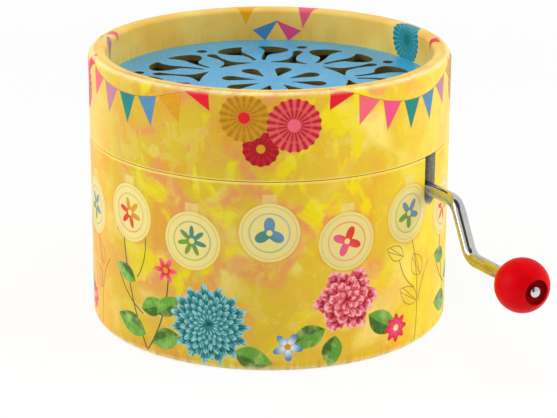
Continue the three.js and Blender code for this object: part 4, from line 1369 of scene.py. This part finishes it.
class MakeFrame(bpy.types.Operator):
    """Makes the cast bedplate, the steel comb, the bracket and every screw"""

    bl_idname = "musicbox.make_frame"
    bl_label = "Make frame and screws"

    def execute(self, context):
        sizes = context.scene.box_movement
        steel = bpy.data.materials["steel"]
        zinc, comb_steel = metal("cast zinc"), metal("comb steel")
        for node, name, slot, finish, width in (
            ("bedplate", "cast_bedplate", "cast_zinc", zinc, 0.3 * MM),
            ("crank_bracket", "crank_bridge", "steel", steel, 0.2 * MM),
            ("comb", "tuned_comb", "comb_steel", comb_steel, 0.05 * MM),
        ):
            place(copy_of(node, name, finish, width), "case", slot, node)
        for stem, total in (("comb_screw", 2), ("bracket_screw", 2), ("bedplate_screw", 4)):
            self.screws(sizes, stem + "s", [f"{stem}_{i + 1}" for i in range(total)], steel)
        return {"FINISHED"}

    def screws(self, sizes, name, nodes, steel):
        """One turned and slotted screw, set at each of the nodes' places."""
        head, shank, crown = sizes.screw_head, sizes.screw_shank, sizes.screw_crown
        first = nodes[0]
        tip = crown - (high(first).z - low(first).z)
        point, rim = 0.3 * MM, 0.45
        profile = [(0, tip), (shank * 0.7, tip), (shank, tip + point), (shank, 0), (head, 0)]
        profile.append((head, crown * rim))
        dome = ((0.97, 0.4), (0.88, 0.72), (0.7, 0.93), (0.4, 1.0))
        profile += [(head * x, crown * (rim + (1 - rim) * y)) for x, y in dome] + [(0, crown)]
        pattern = turned(name + "_pattern", profile, 40, steel)
        half, reach = sizes.driver_width / 2, 2 * head
        corners = ((-reach, -half), (reach, -half), (reach, half), (-reach, half))
        box = [(x, y, z) for z in (crown - sizes.driver_depth, crown * 2) for x, y in corners]
        faces = [(3, 2, 1, 0), (4, 5, 6, 7), (0, 1, 5, 4), (1, 2, 6, 5), (2, 3, 7, 6), (3, 0, 4, 7)]
        cut(pattern, mesh_piece("driver", box, faces, steel))
        middles = [(low(node) + high(node)) / 2 for node in nodes]
        spots = [(middle.x, middle.y, high(node).z - crown) for middle, node in zip(middles, nodes)]
        piece = mesh_piece(name, spots, [])
        tree = Tree(name, Turn_between=1.1)
        (between,) = tree.sizes
        lean = tree.vector(z=(tree.index() + 0.4) * between)
        screw = tree.node("GeometryNodeObjectInfo", Object=pattern).outputs["Geometry"]
        ring = tree.shape("InstanceOnPoints", Points=tree.start, Instance=screw, Rotation=lean)
        tree.finish(ring, (steel, True)).run(piece)
        discard(pattern)
        place(finish_mesh(piece), "case", "steel", *nodes)


# The camera's eye, the point that it looks at, its lens and film in millimetres, and its roll
EYE, AIM = Vector((0.3441, -0.1895, 0.1516)), Vector((0.000874, 0.001571, 0.02022))
LENS, FILM, ROLL = 135.15, 36, math.radians(0.22)

# Lamps: name, place, size, share of the lamp power, and whether polished metal mirrors it
LAMPS = (
    ("lamp left", (-0.12, -0.43, 0.2), 0.35, 1.25, True),
    ("lamp right", (0.28, 0.36, 0.17), 0.35, 1.25, False),
    ("lamp above", (0.22, -0.12, 0.5), 0.3, 1.2, False),
)
LAMP_AIM = Vector((0, 0, 0.03))


class MakeStage(bpy.types.Operator):
    """Sets the pale floor, the light from all round, the soft lamps and the camera"""

    bl_idname = "musicbox.make_stage"
    bl_label = "Make stage"

    def execute(self, context):
        scene = context.scene
        levels = scene.box_light
        self.camera(scene)
        self.world(scene, levels)
        self.floor(levels)
        for name, spot, size, power, mirrored in LAMPS:
            light = bpy.data.lights.new(name, "AREA")
            light.energy, light.size = levels.lamp * power, size
            lamp = bpy.data.objects.new(name, light)
            scene.collection.objects.link(lamp)
            lamp.location = spot
            lamp.visible_glossy = mirrored
            lamp.rotation_euler = (LAMP_AIM - lamp.location).to_track_quat("-Z", "Y").to_euler()
        scene.view_settings.view_transform = "Standard"
        return {"FINISHED"}

    def camera(self, scene):
        """A long lens, a little above the lid, at the photograph's own angle."""
        data = bpy.data.cameras.new("camera")
        data.lens, data.sensor_width, data.sensor_fit = LENS, FILM, "HORIZONTAL"
        data.clip_start, data.clip_end = 0.01, 20
        camera = bpy.data.objects.new("camera", data)
        scene.collection.objects.link(camera)
        facing = (AIM - EYE).to_track_quat("-Z", "Y").to_matrix().to_4x4()
        camera.matrix_world = Matrix.Translation(EYE) @ facing @ Matrix.Rotation(ROLL, 4, "Z")
        scene.camera = camera

    def world(self, scene, levels):
        """Light from all round, less from the viewer's side. Reflections show two dark patches in white."""
        world = bpy.data.worlds.new("studio")
        scene.world = world
        world.use_nodes = True
        graph = Graph(world.node_tree)
        graph.tree.nodes.clear()
        way = graph.node("ShaderNodeTexCoord").outputs["Generated"]
        viewer, overhead = EYE.normalized(), Vector((0.32, -0.32, 0.89))
        shades = []
        for towards, start, end in ((viewer, 0.5, 0.95), (viewer, 0.90, 0.935), (overhead, 0.86, 0.90)):
            facing = graph.node("ShaderNodeVectorMath", {"operation": "DOT_PRODUCT"}, Vector=way)
            facing.inputs[1].default_value = towards
            shades.append(graph.fade(facing.outputs["Value"], start, end, 1.0, levels.dark_side))
        room, *patches = shades
        rays = graph.node("ShaderNodeLightPath").outputs
        seen = graph.sum("MAXIMUM", rays["Is Camera Ray"], rays["Is Transmission Ray"])
        mirrored = graph.blend(rays["Is Glossy Ray"], room * levels.room, patches[0] * patches[1])
        light = graph.node("ShaderNodeBackground", Strength=graph.blend(seen, mirrored, 1.0))
        graph.node("ShaderNodeOutputWorld", Surface=light.outputs[0])

    def floor(self, levels):
        """A white floor. Part of its white is its own, and further out all of it, so shadows stay faint."""
        material = bpy.data.materials.new("pale floor")
        material.use_nodes = True
        graph = Graph(material.node_tree)
        graph.tree.nodes.clear()
        spot = graph.node("ShaderNodeTexCoord").outputs["Object"]
        grain = graph.node("ShaderNodeTexNoise", Vector=spot, Scale=900).outputs[0]
        tint = graph.scale(grain, (0.0, (0.97, 0.97, 0.97)), (1.0, (1, 1, 1)))
        card = graph.node("ShaderNodeBsdfDiffuse", Color=tint).outputs[0]
        rays = graph.node("ShaderNodeLightPath").outputs
        seen = graph.sum("MAXIMUM", rays["Is Camera Ray"], rays["Is Glossy Ray"])
        seen = seen.of("MAXIMUM", rays["Is Transmission Ray"])
        away = graph.node("ShaderNodeVectorMath", {"operation": "LENGTH"}, Vector=spot).outputs["Value"]
        own = seen * graph.fade(away, 0.1, 0.4, levels.floor_glow, 1.0)
        both = graph.node("ShaderNodeMixShader", Fac=own)
        graph.put(both.inputs[1], card)
        graph.put(both.inputs[2], graph.node("ShaderNodeEmission").outputs[0])
        graph.node("ShaderNodeOutputMaterial", Surface=both.outputs[0])
        reach = 1.5  # metres, past every view
        corners = [(-reach, -reach, 0), (reach, -reach, 0), (reach, reach, 0), (-reach, reach, 0)]
        mesh_piece("floor", corners, [(0, 1, 2, 3)], material)


class BoxPanel(bpy.types.Panel):
    """Builds the music box piece by piece"""

    bl_idname = "VIEW3D_PT_music_box"
    bl_label = "Music box"
    bl_space_type = "VIEW_3D"
    bl_region_type = "UI"
    bl_category = "Music box"

    def draw(self, context):
        for maker in MAKERS:
            self.layout.operator(maker.bl_idname)
        for name, group in SETTINGS.items():
            box = self.layout.box()
            box.label(text=group.__doc__)
            for entry in group.__annotations__:
                box.prop(getattr(context.scene, name), entry)


SETTINGS = {
    "box_case": CaseSizes,
    "box_print": PrintSizes,
    "box_inks": PrintColours,
    "box_grille": GrilleSizes,
    "box_crank": CrankSizes,
    "box_movement": MovementSizes,
    "box_light": LightLevels,
}
MAKERS = (MakeCase, MakeLid, MakeGrille, MakeCrank, MakeKnob, MakeDrum, MakeFrame, MakeStage)


def register():
    for group in SETTINGS.values():
        bpy.utils.register_class(group)
    for name, group in SETTINGS.items():
        setattr(bpy.types.Scene, name, PointerProperty(type=group))
    for maker in (*MAKERS, BoxPanel):
        bpy.utils.register_class(maker)


def unregister():
    for maker in reversed((*MAKERS, BoxPanel)):
        bpy.utils.unregister_class(maker)
    for name in SETTINGS:
        delattr(bpy.types.Scene, name)
    for group in reversed(SETTINGS.values()):
        bpy.utils.unregister_class(group)


def main():
    register()
    made = bpy.ops.musicbox
    made.make_case()
    made.make_lid()
    made.make_grille()
    made.make_crank()
    made.make_knob()
    made.make_drum()
    made.make_frame()
    made.make_stage()


if __name__ == "__main__":
    main()
